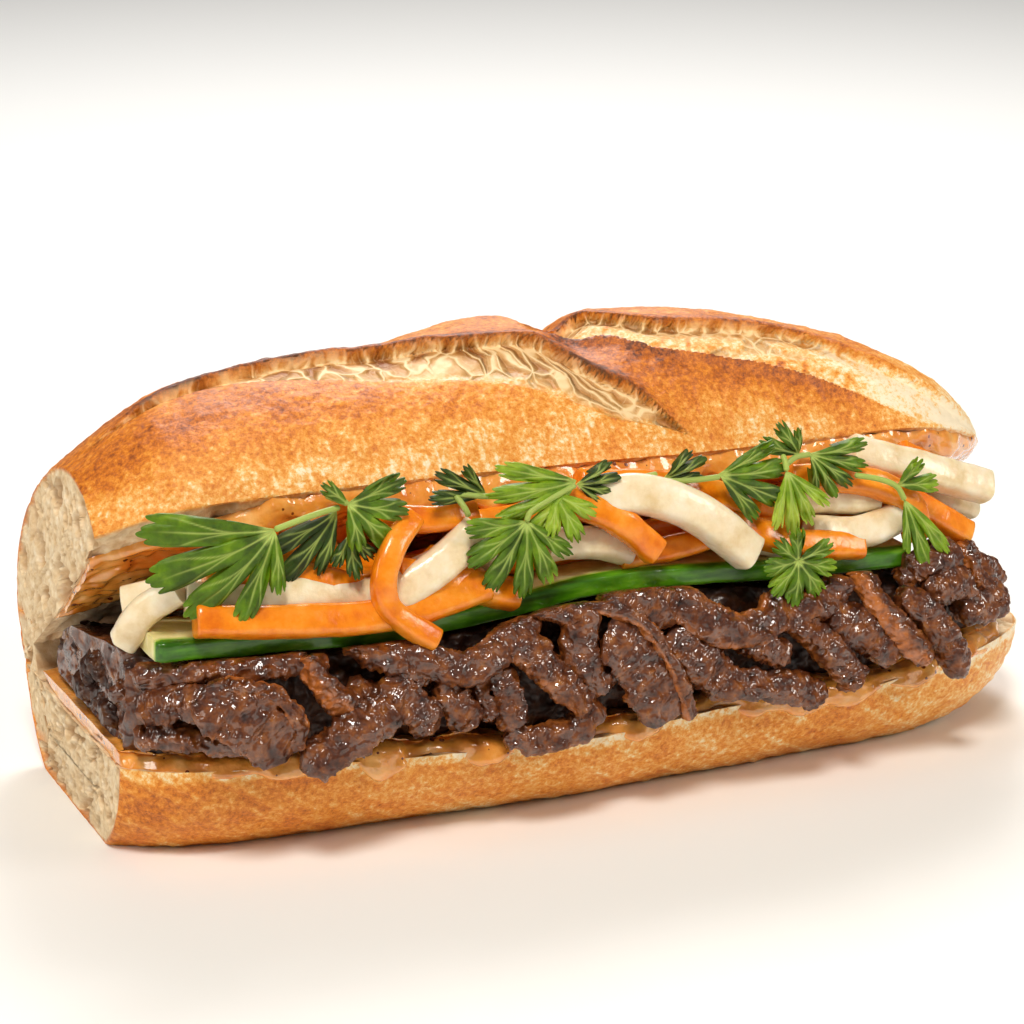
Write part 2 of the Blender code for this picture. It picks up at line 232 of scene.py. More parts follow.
def lid_measures(x):
    """The lid at x: the middle run, the half run, the full rise and the lift of its cut face."""
    share = tip_share(x, LID_TIP, LID_TIP_RUN)
    lip, back = table(LID_LIP, x), table(LID_BACK, x)
    lift = LID_TIP_LIFT * (1 - share) ** 1.2
    return (lip + back) / 2, (lip - back) / 2 * share, table(LID_RISE, x) * share, lift


def lid_to_world(x, run, rise):
    """A point of the lid, (run from the hinge, rise off the cut), as a place in the bread's frame."""
    y = HINGE_Y - run * math.cos(LID_ANGLE) + rise * math.sin(LID_ANGLE)
    return Vector((x, y, HINGE_Z + run * math.sin(LID_ANGLE) + rise * math.cos(LID_ANGLE)))


def lid_sag(t, half):
    """How far the lid's cut face bulges down at the share t of the way from its lip to its back."""
    return LID_CUT_SAG * math.sin(math.pi * t**0.7) * half / 44


def lid_point(x, measures, on_crust, value):
    """(run, rise) on the lid's outline. Value is the angle over the crust, or the share across the cut."""
    middle, half, full, lift = measures
    if on_crust:
        c = math.cos(value)
        run = middle + half * math.copysign(abs(c) ** (2 / LID_POWER), c)
        return run, lift + full * max(0.0, math.sin(value)) ** (2 / LID_POWER)
    return middle + half * (1 - 2 * value), lift - lid_sag(value, half)


def base_measures(x):
    """The base at x: the middle, the half width, the share left by the tip, and the height of its rim."""
    share = tip_share(x, BASE_TIP, BASE_TIP_RUN)
    rim = table(RIM_HEIGHT, x)
    front, back = table(FRONT_RIM, x), table(BACK_RIM, x)
    return (front + back) / 2, (back - front) / 2 * share / base_half_width(rim), share, rim


def base_point(x, measures, kind, value):
    """(y, z) on the base's outline: down the front, along the bottom, up the back or over the cut face."""
    middle, half, share, rim = measures
    if kind == "cut":
        width = half * base_half_width(rim)
        return middle + width * (1 - 2 * value), rim - 0.8 * math.sin(math.pi * value) * share
    if kind == "bottom":
        return middle + half * base_half_width(0) * (2 * value - 1), rim - rim * share**0.8
    depth = rim * math.sin(math.pi / 2 * value)
    side = -1 if kind == "front" else 1
    return middle + side * half * base_half_width(rim - depth), rim - depth * share**0.8


def spans(*runs):
    """Values along several stretches, each (start, end, steps), without the last one's end."""
    return [start + (end - start) * i / steps for start, end, steps in runs for i in range(steps)]


def stations(tip, run, straight, rounded):
    """Stations along the bread from its cut end, closing up towards the round tip."""
    shoulder = tip - run
    return spans((CUT_END, shoulder, straight)) + [
        shoulder + run * math.sin(math.pi / 2 * i / rounded) for i in range(rounded + 1)]


def wrap_sheet(columns, rings, steps, place):
    """A closed body from one grid: its first rows are rings across the flat end, the rest run to the tip."""
    bm = bmesh.new()
    rows = rings + len(steps) - 1
    kind, value, row_layer = (bm.verts.layers.float.new(n) for n in ("kind", "value", "ring"))
    bmesh.ops.create_grid(bm, x_segments=len(columns), y_segments=rows, size=1.0)
    grid = [[None] * (len(columns) + 1) for _ in range(rows + 1)]
    for vert in bm.verts:
        grid[round((vert.co.y + 1) / 2 * rows)][round((vert.co.x + 1) / 2 * len(columns))] = vert
    for r, line in enumerate(grid):
        x = steps[max(0, r - rings)]
        ring = min(1.0, (r + 1) / (rings + 1))
        for c, vert in enumerate(line):
            column = columns[c % len(columns)]
            vert.co = place(x, column, ring)
            vert[kind], vert[value], vert[row_layer] = column[0], column[1], ring
    inner_edges = [e for e in bm.edges if e.is_boundary and min(v[row_layer] for v in e.verts) < 0.5]
    bmesh.ops.holes_fill(bm, edges=inner_edges)
    bmesh.ops.remove_doubles(bm, verts=bm.verts[:], dist=0.004)
    inner = [v for v in bm.verts if v[row_layer] < 1.5 / (rings + 1)]
    bmesh.ops.remove_doubles(bm, verts=inner, dist=0.35)
    bmesh.ops.holes_fill(bm, edges=[e for e in bm.edges if e.is_boundary])
    bmesh.ops.recalc_face_normals(bm, faces=bm.faces[:])
    bm.normal_update()
    return bm


def finish_piece(bm, name, material, nodes, marks=None, sharp=60):
    """Carries the mesh from the bread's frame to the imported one, inside the model's box, as a piece."""
    bm.normal_update()
    for vert in bm.verts:
        place = (vert.co + SHIFT) * MM
        vert.co = [min(max(place[i], cad_low[i] + 2e-5), cad_high[i] - 2e-5) for i in range(3)]
    mesh = bpy.data.meshes.new(name)
    bm.to_mesh(mesh)
    bm.free()
    mesh.shade_smooth()
    mesh.set_sharp_from_angle(angle=math.radians(sharp))
    mesh.materials.append(material)
    piece = bpy.data.objects.new(name, mesh)
    bpy.context.scene.collection.objects.link(piece)
    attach(piece, "root")
    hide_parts(*nodes)
    return piece


def pores(a, b, seed, size):
    """The depth of open crumb at (a, b) mm: round and stretched gas holes of many sizes, 0 to 1."""
    warp = 0.3 * noise.noise(Vector((a / 3, b / 3, seed)))
    distances, cells = noise.voronoi(Vector((a / size + warp, b / size - warp, seed)))
    wide = 0.14 + 0.46 * abs(noise.cell(cells[0] * 5.3))
    return max(0.0, 1 - (distances[0] / wide) ** 2) ** 0.5


def crumb_relief(a, b, seed):
    """(depth in mm, painted shade 0 to 1 in its holes) of torn or cut crumb: holes of three sizes and a fine
    ragged surface.
    """
    large = pores(a, b * 0.72, seed, PORE)
    small = pores(a * 1.1, b * 0.85, seed + 4, PORE * 0.42)
    tiny = pores(a, b, seed + 9, PORE * 0.2)
    ragged = rough(a, b, seed, 1.8, 3)
    depth = 2.4 * large**1.5 + 1.0 * small + 0.45 * tiny + 0.3 * ragged
    return depth, min(1.0, 0.9 * large**2 + 0.5 * small + 0.3 * tiny)


# What each point of the bread's skin is: how far it is baked, whether it is crumb or web, how much painted
# shade its hollows get, and where it lies in the net of the web (in cells).
LOOKS = ("bake", "crumb", "web", "hollow", "web_u", "web_v")


def lid_skin(x, degrees, arc):
    """The lid's crust at a station and an angle from its lip: (rise, slide towards the lip, looks)."""
    low1, high1 = table(FIRST_LOW, x), table(FIRST_HIGH, x)
    low2, high2 = table(SECOND_LOW, x), table(SECOND_HIGH, x)
    up = degrees * arc
    bake = 0.40 + 0.14 * ease(4, 26, degrees) - 0.05 * ease(-30, 30, x) * ease(60, 20, degrees)
    bake += 0.14 * ease(-25, -75, x) * ease(10, 34, degrees)
    rise, slide, web, hollow, web_u, web_v = 0.0, 0.0, 0.0, 0.0, 0.0, 0.0
    # First score: a band of web below an ear.
    inside = min(degrees - low1, high1 - degrees) * arc
    if -104 < x < 16:
        if inside > 0:
            edge = ease(0, 1.4, inside)
            share = (degrees - low1) / (high1 - low1)
            ragged = share + 0.14 * rough(x, up, 0, 3.5)
            web = edge * max(ease(0.08, 0.30, ragged), ease(-50, -62, x))
            web_u = (x + 0.9 * ease(-30, 4, x) * up) / WEB_WIDE
            web_v = up / WEB_TALL
            # Painted shade: the web's hollows darken towards the ear that hangs over them.
            hollow = 0.15 + 0.85 * ease(0.1, 0.85, share)
            rise -= 1.9 * edge - 0.5 * math.sin(math.pi * share)
            bake = bake * (1 - edge) + 0.22 * edge
        above = (degrees - high1) * arc
        ends = ease(-104, -90, x) * ease(16, 4, x)
        if -0.8 < above < 10:
            ear = math.exp(-((above - 0.6) / 2.6) ** 2) * ends
            rise += 1.5 * ear
            slide += 1.3 * ear
            bake += 0.34 * ear
        below = (low1 - degrees) * arc
        if 0 < below < 8:
            bake -= 0.14 * math.exp(-below / 2.5) * ends
    # Second score: a wide pale burst above the crust island, with an ear at its far side.
    if x > -9:
        top = (degrees - low2) * arc
        inside = min(top, (high2 - degrees) * arc)
        if inside > 0:
            edge = ease(0, 2.0, inside) * ease(-9, -4, x)
            near_ear = ease(8.0, 2.0, (high2 - degrees) * arc)
            pocket = max(near_ear, 0.8 * ease(0.12, 0.34, rough(x, up, 3, 6))) * ease(70, 40, x)
            web_u = (x - 0.4 * up) / (WEB_WIDE * 0.75)
            web_v = up / (WEB_TALL * 0.5)
            # Painted shade under the ear, as in the first score.
            hollow = 0.15 + 0.6 * near_ear
            rise -= edge * (0.8 + 0.7 * pocket)
            streak = max(0.0, noise.noise(Vector(((x - 0.5 * up) / 2.0, (up + 0.3 * x) / 6.5, 6))) - 0.22)
            bake = bake * (1 - edge) + edge * (0.22 - 0.10 * ease(40, 75, x) + 0.9 * streak)
            web = edge * pocket
        elif top < 0:
            island = math.exp(top / 8.0) * ease(-9, -2, x) * ease(76, 50, x)
            bake += 0.34 * island + 0.10 * ease(-9, -2, x) * ease(30, 0, x)
            rise += 0.9 * math.exp(-(top / 2.0) ** 2) * ease(-9, -2, x) * ease(74, 55, x)
        far = (degrees - high2) * arc
        if -0.8 < far < 12:
            ear = math.exp(-((far - 0.6) / 3.0) ** 2) * ease(-9, 0, x) * ease(96, 70, x)
            rise += 1.2 * ear
            slide += 1.1 * ear
            bake += 0.26 * ear * ease(80, 40, x)
        bake -= 0.22 * ease(58, 86, x) * ease(70, 30, degrees)
    # Fine wrinkles run down to the lip, where the skin of the dough shrank and stayed pale.
    wrinkle = ease(1, 5, degrees) * ease(26, 8, degrees)
    crack = noise.noise(Vector((x / 0.9, up / 5.0, 3)))
    rise += 0.34 * wrinkle * crack
    low_pale = ease(-88, -66, x) * (0.55 + 0.45 * ease(20, -20, x))
    bake -= 0.07 * ease(13, 2, degrees) * low_pale + 0.42 * ease(17, 4, degrees) * max(0.0, crack) * low_pale
    return rise, slide, (bake, 0.0, web, hollow, web_u, web_v)


def crust_relief(place):
    """The shallow swells, blisters and grain of baked crust, in mm."""
    x, y, z = place
    blister = max(0.0, rough(x, y, z, 3.2) - 0.25)
    swell = 0.45 * rough(x, y, z, 22) + 0.25 * rough(x, y, z, 7)
    return swell + 0.5 * blister + 0.16 * rough(x, y, z, 1.5, 3)


def mark_skin(bm, relief):
    """Moves each point by relief(vert) -> (offset, looks) and keeps the looks as attributes."""
    layers = [bm.verts.layers.float.new(name) for name in LOOKS]
    moved = [(vert, *relief(vert)) for vert in bm.verts]
    for vert, offset, looks in moved:
        vert.co += offset
        for layer, value in zip(layers, looks):
            vert[layer] = value


bread, tree, shader = new_material("baked_wheat_crust_and_crumb")
where = add(tree, "TexCoord").outputs["Object"]
bake, crumb, web, hollow, web_u, web_v = (
    add(tree, "Attribute", attribute_name=name).outputs["Fac"] for name in LOOKS)
# Bubbles and flour in the skin of the dough brown unevenly: patches of 5 to 8 mm with flecks of about 1 mm.
patches = add(tree, "TexNoise", {"Vector": where, "Scale": 110, "Detail": 6, "Roughness": 0.66})
flecks = add(tree, "TexNoise", {"Vector": where, "Scale": 820, "Detail": 6, "Roughness": 0.78})
spread = add(tree, "Math", {0: patches, 1: 0.5}, operation="SUBTRACT")
sharper = add(tree, "Math", {0: flecks, 1: 0.5}, operation="SUBTRACT")
browned = add(tree, "Math", {0: spread, 1: 0.8, 2: bake}, operation="MULTIPLY_ADD")
browned = add(tree, "Math", {0: sharper, 1: 1.7, 2: browned}, operation="MULTIPLY_ADD")
crust_colour = add(tree, "ValToRGB", {0: browned}, stops=(
    (0.00, "fdeccb"), (0.14, "fad89a"), (0.28, "f4b45a"), (0.42, "ec982f"), (0.58, "dc7c16"),
    (0.76, "ba600d"), (0.92, "94480d"), (1.00, "643009")))
crumb_grain = add(tree, "TexNoise", {"Vector": where, "Scale": 480, "Detail": 4, "Roughness": 0.6})
crumb_colour = add(tree, "ValToRGB", {0: crumb_grain}, stops=(
    (0.3, "dcbb8c"), (0.55, "f0d8b0"), (0.75, "fcecd0")))
# Painted shade: the crumb is darkened in its holes.
deep_crumb = add(tree, "Mix", {0: hollow, 6: crumb_colour, 7: linear("b08252")}, data_type="RGBA")
# The web: thin pale strands around smooth brown hollows, with painted shade that darkens each hollow towards
# its middle and the nearer it is to the ear.
drift = add(tree, "TexNoise", {"Vector": where, "Scale": 150, "Detail": 1})
net = add(tree, "CombineXYZ", {0: web_u, 1: web_v})
loose = add(tree, "VectorMath", {0: drift.outputs["Color"], 1: (1.3, 1.3, 0.0)}, operation="MULTIPLY")
net = add(tree, "VectorMath", {0: net, 1: loose}, operation="ADD")
cells = add(tree, "TexVoronoi", {"Vector": net, "Scale": 1.0, "Randomness": 0.95},
            feature="DISTANCE_TO_EDGE")
small_cells = add(tree, "TexVoronoi", {"Vector": net, "Scale": 2.6, "Randomness": 1.0},
                  feature="DISTANCE_TO_EDGE")
strand = add(tree, "MapRange", {0: cells.outputs["Distance"], 1: 0.02, 2: 0.065, 3: 1.0, 4: 0.0},
             interpolation_type="SMOOTHSTEP")
inner_strand = add(tree, "MapRange", {0: small_cells.outputs["Distance"], 1: 0.01, 2: 0.06, 3: 0.3, 4: 0.0},
                   interpolation_type="SMOOTHSTEP")
any_strand = add(tree, "Math", {0: strand, 1: inner_strand}, operation="MAXIMUM")
bowl = add(tree, "MapRange", {0: cells.outputs["Distance"], 1: 0.0, 2: 0.32}, interpolation_type="SMOOTHSTEP")
# Painted shade in the middle of each cell and under the ear, with real flecks of browning added.
bowl_tone = add(tree, "Math", {0: bowl, 1: hollow}, operation="MULTIPLY")
bowl_tone = add(tree, "Math", {0: sharper, 1: 0.45, 2: bowl_tone}, operation="MULTIPLY_ADD")
bowl_colour = add(tree, "ValToRGB", {0: bowl_tone}, stops=(
    (0.0, "e3b575"), (0.25, "cd914c"), (0.55, "b0702f"), (1.0, "8a4913")))
web_colour = add(tree, "Mix", {0: any_strand, 6: bowl_colour, 7: linear("f8d8a2")}, data_type="RGBA")
skin = add(tree, "Mix", {0: web, 6: crust_colour, 7: web_colour.outputs[2]}, data_type="RGBA")
both = add(tree, "Mix", {0: crumb, 6: skin, 7: deep_crumb}, data_type="RGBA")
tree.links.new(both.outputs[2], shader.inputs["Base Color"])
gloss = add(tree, "MapRange", {0: crumb, 3: 0.46, 4: 0.92})
tree.links.new(gloss.outputs[0], shader.inputs["Roughness"])
grain = add(tree, "TexNoise", {"Vector": where, "Scale": 1500, "Detail": 4, "Roughness": 0.7})
bump = add(tree, "Bump", {"Height": grain, "Strength": 0.5, "Distance": 0.0004})
depth = add(tree, "Math", {0: bowl, 1: web}, operation="MULTIPLY")
web_bump = add(tree, "Bump", {"Height": depth, "Strength": 1.0, "Distance": 0.0013, "Normal": bump},
               invert=True)
tree.links.new(web_bump.outputs[0], shader.inputs["Normal"])

# The lid. Its columns go over the crust from the lip to the back, then along the cut face to the lip again.
LID_RINGS = 40
lid_columns = [(0.0, a) for a in spans(
    (0, math.radians(60), 104), (math.radians(60), math.radians(100), 44), (math.radians(100), math.pi, 44))]
lid_columns += [(1.0, t) for t in spans((1.0, 0.18, 32), (0.18, 0.0, 28))]


def place_on_lid(x, column, ring):
    measures = lid_measures(x)
    middle, _, full, _ = measures
    run, rise = lid_point(x, measures, column[0] < 0.5, column[1])
    if ring < 1:
        core = middle + (run - middle) * 0.55
        run, rise = core + (run - core) * ring, 0.36 * full + (rise - 0.36 * full) * ring
    return lid_to_world(x, run, rise)


bm = wrap_sheet(lid_columns, LID_RINGS, stations(LID_TIP, LID_TIP_RUN, 280, 60), place_on_lid)
kind, value, ring_of = (bm.verts.layers.float[n] for n in ("kind", "value", "ring"))


def lid_look(vert):
    """The offset and looks of one point of the lid."""
    x, y, z = vert.co
    if vert[ring_of] < 0.999:
        depth, shade = crumb_relief(y, z, 11)
        rim = ease(0.93, 0.985, vert[ring_of]) * (1 - vert[kind])
        return Vector((depth * (1 - rim), 0, 0)), (0.62, 1 - rim, 0.0, shade * (1 - rim))
    middle, half, full, lift = lid_measures(x)
    if vert[kind] > 0.5:
        depth, shade = crumb_relief(x, vert[value] * 2 * half, 5)
        edge = ease(0.0, 0.02, vert[value])
        return vert.normal * (-0.45 * depth * edge), (0.3, edge, 0.0, shade * 0.8)
    c = math.cos(vert[value])
    degrees = math.degrees(math.acos(max(-1.0, min(1.0, math.copysign(abs(c) ** (2 / LID_POWER), c)))))
    reach = math.radians(1) * (0.5 * half + 0.5 * full)
    rise, slide, looks = lid_skin(x, degrees, reach)
    calm = ease(0, 1.5, degrees) * ease(0.0, 0.2, half / 40)
    down = Vector((0, -math.cos(LID_ANGLE), math.sin(LID_ANGLE)))
    slip = down - vert.normal * down.dot(vert.normal)
    return vert.normal * (calm * rise + crust_relief(vert.co)) + slip * slide * calm, looks


mark_skin(bm, lid_look)
finish_piece(bm, "loaf_lid", bread, ["loaf"])

# The base, a slice off the bottom of the loaf. Its columns go down the front, along the bottom, up the back
# and over the cut face.
BASE_RINGS = 40
KINDS = ("front", "bottom", "back", "cut")
base_columns = [(0.0, t) for t in spans((0, 1, 56))] + [(1.0, t) for t in spans((0, 1, 26))]
base_columns += [(2.0, t) for t in spans((1, 0, 26))]
base_columns += [(3.0, t) for t in spans((0, 0.84, 36), (0.84, 1, 26))]


def place_on_base(x, column, ring):
    measures = base_measures(x)
    middle, _, _, rim = measures
    y, z = base_point(x, measures, KINDS[int(column[0])], column[1])
    if ring < 1:
        core = middle + (y - middle) * 0.6
        y, z = core + (y - core) * ring, 0.48 * rim + (z - 0.48 * rim) * ring
    return Vector((x, y, z))


bm = wrap_sheet(base_columns, BASE_RINGS, stations(BASE_TIP, BASE_TIP_RUN, 262, 62), place_on_base)
kind, value, ring_of = (bm.verts.layers.float[n] for n in ("kind", "value", "ring"))


def base_look(vert):
    """The offset and looks of one point of the base."""
    x, y, z = vert.co
    if vert[ring_of] < 0.999:
        depth, shade = crumb_relief(y, z, 23)
        rim = ease(0.93, 0.985, vert[ring_of]) * (vert[kind] < 2.5)
        return Vector((depth * (1 - rim), 0, 0)), (0.6, 1 - rim, 0.0, shade * (1 - rim))
    if vert[kind] > 2.5:
        depth, shade = crumb_relief(x, y, 31)
        edge = ease(0.0, 0.02, min(vert[value], 1 - vert[value]))
        return vert.normal * (-0.35 * depth * edge), (0.3, edge, 0.0, shade * 0.8)
    bake = 0.42 + 0.12 * ease(-30, -90, x) - 0.10 * ease(3.0, 0.0, z) - 0.12 * ease(40, 100, x)
    streak = noise.noise(Vector(((x + 1.6 * z) / 3.0, (z - 0.5 * x) / 14.0, 4)))
    bake -= 0.22 * max(0.0, streak)
    bright = ease(0.10, 0.03, vert[value]) if vert[kind] < 0.5 else 0.0
    bake -= 0.28 * bright
    offset = vert.normal * (crust_relief(vert.co) + 0.25 * streak)
    if z + offset.z < 0 or vert[kind] in (1.0,):
        offset.z = -z if z < 0.4 else 0.0
    return offset, (bake, 0.0, 0.0, 0.0)


mark_skin(bm, base_look)
finish_piece(bm, "loaf_base", bread, ["loaf"])


# The fold of bread left uncut along the back, from the base's back wall up to the back of the lid.
HINGE_END = 76.0
hinge_columns = [(0.0, t) for t in spans((0, 1, 40))] + [(1.0, t) for t in spans((1, 0, 16))]


def place_on_hinge(x, column, ring):
    measures = base_measures(x)
    wall_y, wall_z = base_point(x, measures, "back", 0.52)
    top_run, top_rise = lid_point(x, lid_measures(x), True, math.radians(158))
    top = lid_to_world(x, top_run, top_rise)
    low = Vector((x, wall_y - 0.5, wall_z))
    fade = ease(HINGE_END, HINGE_END - 24, x)
    bulge = (low + top) / 2 + Vector((0, 3.4 * fade - 4.0 * (1 - fade), 0.6))
    t = column[1]
    outer = low * (1 - t) ** 2 + bulge * 2 * t * (1 - t) + top * t**2
    inner = low + (top - low) * t + Vector((0, -7 * fade - 3, 0))
    place = outer if column[0] < 0.5 else inner
    middle = (low + top) / 2 + Vector((0, -3, 0))
    return middle + (place - middle) * min(1.0, ring) * (0.35 + 0.65 * fade)


hinge_steps = spans((CUT_END + 0.1, HINGE_END, 150), (HINGE_END, HINGE_END + 1, 1))
bm = wrap_sheet(hinge_columns, 6, hinge_steps, place_on_hinge)
kind, ring_of = (bm.verts.layers.float[n] for n in ("kind", "ring"))


def hinge_look(vert):
    """The offset and looks of one point of the fold: crumb at its end and inside, crust outside."""
    x, y, z = vert.co
    if vert[ring_of] < 0.999 or vert[kind] > 0.5:
        depth, shade = crumb_relief(y, z, 41)
        return Vector((depth if vert[ring_of] < 0.999 else 0, 0, 0)), (0.6, 1.0, 0.0, shade)
    # Painted shade: the crust is darker along the crease.
    crease = math.exp(-((z - 21) / 1.6) ** 2)
    return vert.normal * (crust_relief(vert.co) - 0.5 * crease), (0.5 + 0.12 * crease, 0.0, 0.0, 0.0)


mark_skin(bm, hinge_look)
finish_piece(bm, "loaf_fold", bread, ["loaf"])

# ---- Spiced mayonnaise: one layer on the base, which creeps over the rim, and one on the lid's cut face.
# Egg mayonnaise with chilli sauce: a thick, opaque, glossy orange cream that holds its peaks.
SAUCE_THICK = 2.0

# The drips over the base's rim: (station, half width, length). The blobs under the lid: (station, half width,
# depth, distance from the lip).
DRIPS = ((-92, 8, 1.2), (-79, 7, 2.0), (-60, 4.5, 4.2), (-39, 6, 2.6), (-27, 5, 1.0), (-4, 6, 2.2),
         (22, 6, 2.4), (33, 5, 3.4), (45, 7, 3.0), (62, 6, 2.6), (80, 8, 1.6))
LID_BLOBS = ((-88, 9, 3.4, 6), (-76, 6, 3.6, 5), (-66, 4, 3.4, 5), (-53, 6, 4.0, 4), (-46, 4, 4.6, 4),
             (-38.5, 3.5, 5.4, 4), (-30, 5, 6.0, 4), (-21, 4, 4.4, 4), (-13, 5, 3.8, 4), (-2, 6, 4.2, 4),
             (7, 4, 4.4, 4), (13, 4.5, 5.4, 4), (24, 5, 3.8, 4), (35, 6, 3.6, 4), (50, 8, 3.2, 4),
             (66, 7, 3.0, 5), (80, 7, 3.0, 5))

sauce, tree, shader = new_material("spiced_mayonnaise")
where = add(tree, "TexCoord").outputs["Object"]
cloudy = add(tree, "TexNoise", {"Vector": where, "Scale": 190, "Detail": 3, "Roughness": 0.5})
sauce_colour = add(tree, "ValToRGB", {0: cloudy}, stops=((0.3, "dd8127"), (0.5, "f09e3f"), (0.72, "fbba66")))
# Pepper and chilli specks, 0.3 to 0.6 mm.
specks = add(tree, "TexVoronoi", {"Vector": where, "Scale": 430, "Randomness": 1.0})
thinned = add(tree, "TexNoise", {"Vector": where, "Scale": 160, "Detail": 1})
speck_share = add(tree, "MapRange", {0: thinned, 1: 0.42, 2: 0.7, 3: 0.0, 4: 0.32})
is_speck = add(tree, "Math", {0: specks.outputs["Distance"], 1: speck_share}, operation="LESS_THAN")
speckled = add(tree, "Mix", {0: is_speck, 6: sauce_colour, 7: linear("7a3a14")}, data_type="RGBA")
tree.links.new(speckled.outputs[2], shader.inputs["Base Color"])
shader.inputs["Roughness"].default_value = 0.2
shader.inputs["Subsurface Weight"].default_value = 0.05
shader.inputs["Subsurface Scale"].default_value = 0.001
shader.inputs["Coat Weight"].default_value = 0.8
shader.inputs["Coat IOR"].default_value = 1.7
shader.inputs["Coat Roughness"].default_value = 0.07
ripples = add(tree, "TexNoise", {"Vector": where, "Scale": 330, "Detail": 3, "Roughness": 0.55})
bump = add(tree, "Bump", {"Height": ripples, "Strength": 0.6, "Distance": 0.0008})
tree.links.new(bump.outputs[0], shader.inputs["Normal"])


def front_rim(x):
    """(y, z) of the base's front rim, drawn in where the round tip turns away."""
    return base_point(x, base_measures(x), "front", 0.0)


base_sauce_columns = [(0.0, t) for t in spans((0, 0.3, 12), (0.3, 1, 44))]
base_sauce_columns += [(1.0, t) for t in spans((1, 0, 8))]


def place_base_sauce(x, column, ring):
    rim_y, rim_z = front_rim(x)
    drop = sum(long * math.exp(-(((x - at) / wide) ** 2)) for at, wide, long in DRIPS)
    drop *= ease(CUT_END, CUT_END + 8, x) * ease(98, 90, x)
    over = ease(0.5, 2.0, drop)
    swell = 0.9 * rough(x, 3, 0, 7) + 0.5 * rough(x, 9, 0, 2.5)
    thick = SAUCE_THICK + swell + 0.2 * drop
    lead = 1.4 - 2.2 * over + 0.9 * rough(x, 6, 0, 5)
    bead = rim_y + lead
    rows_y = ((0.0, 25), (0.22, rim_y + 9), (0.42, bead + 3.6), (0.56, bead + 1.9), (0.68, bead + 0.8),
              (0.78, bead + 0.2), (0.9, bead - 0.1 * over), (1.0, bead + 0.7))
    rows_z = ((0.0, 2.0), (0.22, thick + 0.3), (0.42, thick + 0.1), (0.56, thick * 0.92),
              (0.68, thick * 0.66), (0.78, thick * 0.25 - 0.15 * drop), (0.9, -0.1 - drop * 0.65),
              (1.0, -0.3 - drop))
    t = column[1]
    y, z = table(rows_y, t), rim_z + table(rows_z, t)
    if column[0] > 0.5:
        y, z = 25 + (rim_y + lead + 0.7 + 2.0 - 25) * t, rim_z - 0.6 - (0.3 + drop) * ease(0.9, 1.0, t)
    z += 0.35 * rough(x, y, 5, 3.5) * (column[0] < 0.5)
    narrow = ring * ease(97, 88, x)
    y = rim_y + 12 + (y - rim_y - 12) * (0.4 + 0.6 * narrow)
    return Vector((x, y, rim_z + 0.3 + (z - rim_z - 0.3) * narrow))


bm = wrap_sheet(base_sauce_columns, 3, spans((CUT_END + 0.6, 97, 340), (97, 98, 1)), place_base_sauce)
for vert in bm.verts:
    x, y, z = vert.co
    vert.co += vert.normal * (0.5 * rough(x, y, z, 3.2) + 0.18 * rough(x, y, z, 1.3))
finish_piece(bm, "sauce_base_layer", sauce, ["sauce_on_base"])

lid_sauce_columns = [(0.0, t) for t in spans((0, 1, 76))] + [(1.0, t) for t in spans((1, 0, 10))]
LID_SAUCE_DEPTH = 36.0


def place_lid_sauce(x, column, ring):
    middle, half, _, lift = lid_measures(x)
    start = 0.9 + 7.5 * ease(-72, -98, x) + 0.9 * rough(x, 1, 0, 6) + 0.5 * rough(x, 4, 0, 2.2)
    deep = start + min(LID_SAUCE_DEPTH, 1.2 * half) * column[1] ** 1.5
    edge = min(1.0, 3.2 * column[1] ** 0.5) * ease(1.0, 0.9, column[1])
    hang = 1.2 + 1.0 * rough(x, deep, 2, 7) + 0.7 * rough(x, deep, 4, 2.6)
    hang += sum(0.9 * tall * math.exp(-(((x - at) / wide) ** 2) - ((deep - far) / 4.0) ** 2)
                for at, wide, tall, far in LID_BLOBS)
    hang *= edge * ring * ease(100, 92, x)
    t = min(1.0, deep / (2 * half + 1e-6))
    rise = lift - lid_sag(t, half) + 0.15 - (max(0.25 * edge, hang) if column[0] < 0.5 else -0.5)
    return lid_to_world(x, middle + half - min(deep, 2 * half), rise)


bm = wrap_sheet(lid_sauce_columns, 3, spans((CUT_END + 0.6, 100, 340), (100, 101, 1)), place_lid_sauce)
for vert in bm.verts:
    x, y, z = vert.co
    vert.co += vert.normal * (0.35 * rough(x, y, z, 3.0) + 0.15 * rough(x, y, z, 1.2))
finish_piece(bm, "sauce_lid_layer", sauce, ["sauce_on_lid"])

# ---- Beef: a heap of about forty thin strips, grilled dark and glazed, folded and curled over each other.
# Flank steak cut across the grain and seared: rough brown fibre, wet with juices, orange fat on some edges.
BEEF_FACE = Vector((0, -0.86, 0.5))
CUCUMBER_THICK = 4.7
CUCUMBER_LINE = ((-103, -34, 45.3), (-87, -34, 44.5), (-54, -34, 43.3), (-30, -34, 45.1), (-11, -34, 47.3),
                 (11, -34, 46.6), (27, -34, 45.4), (60.5, -34, 44.6))

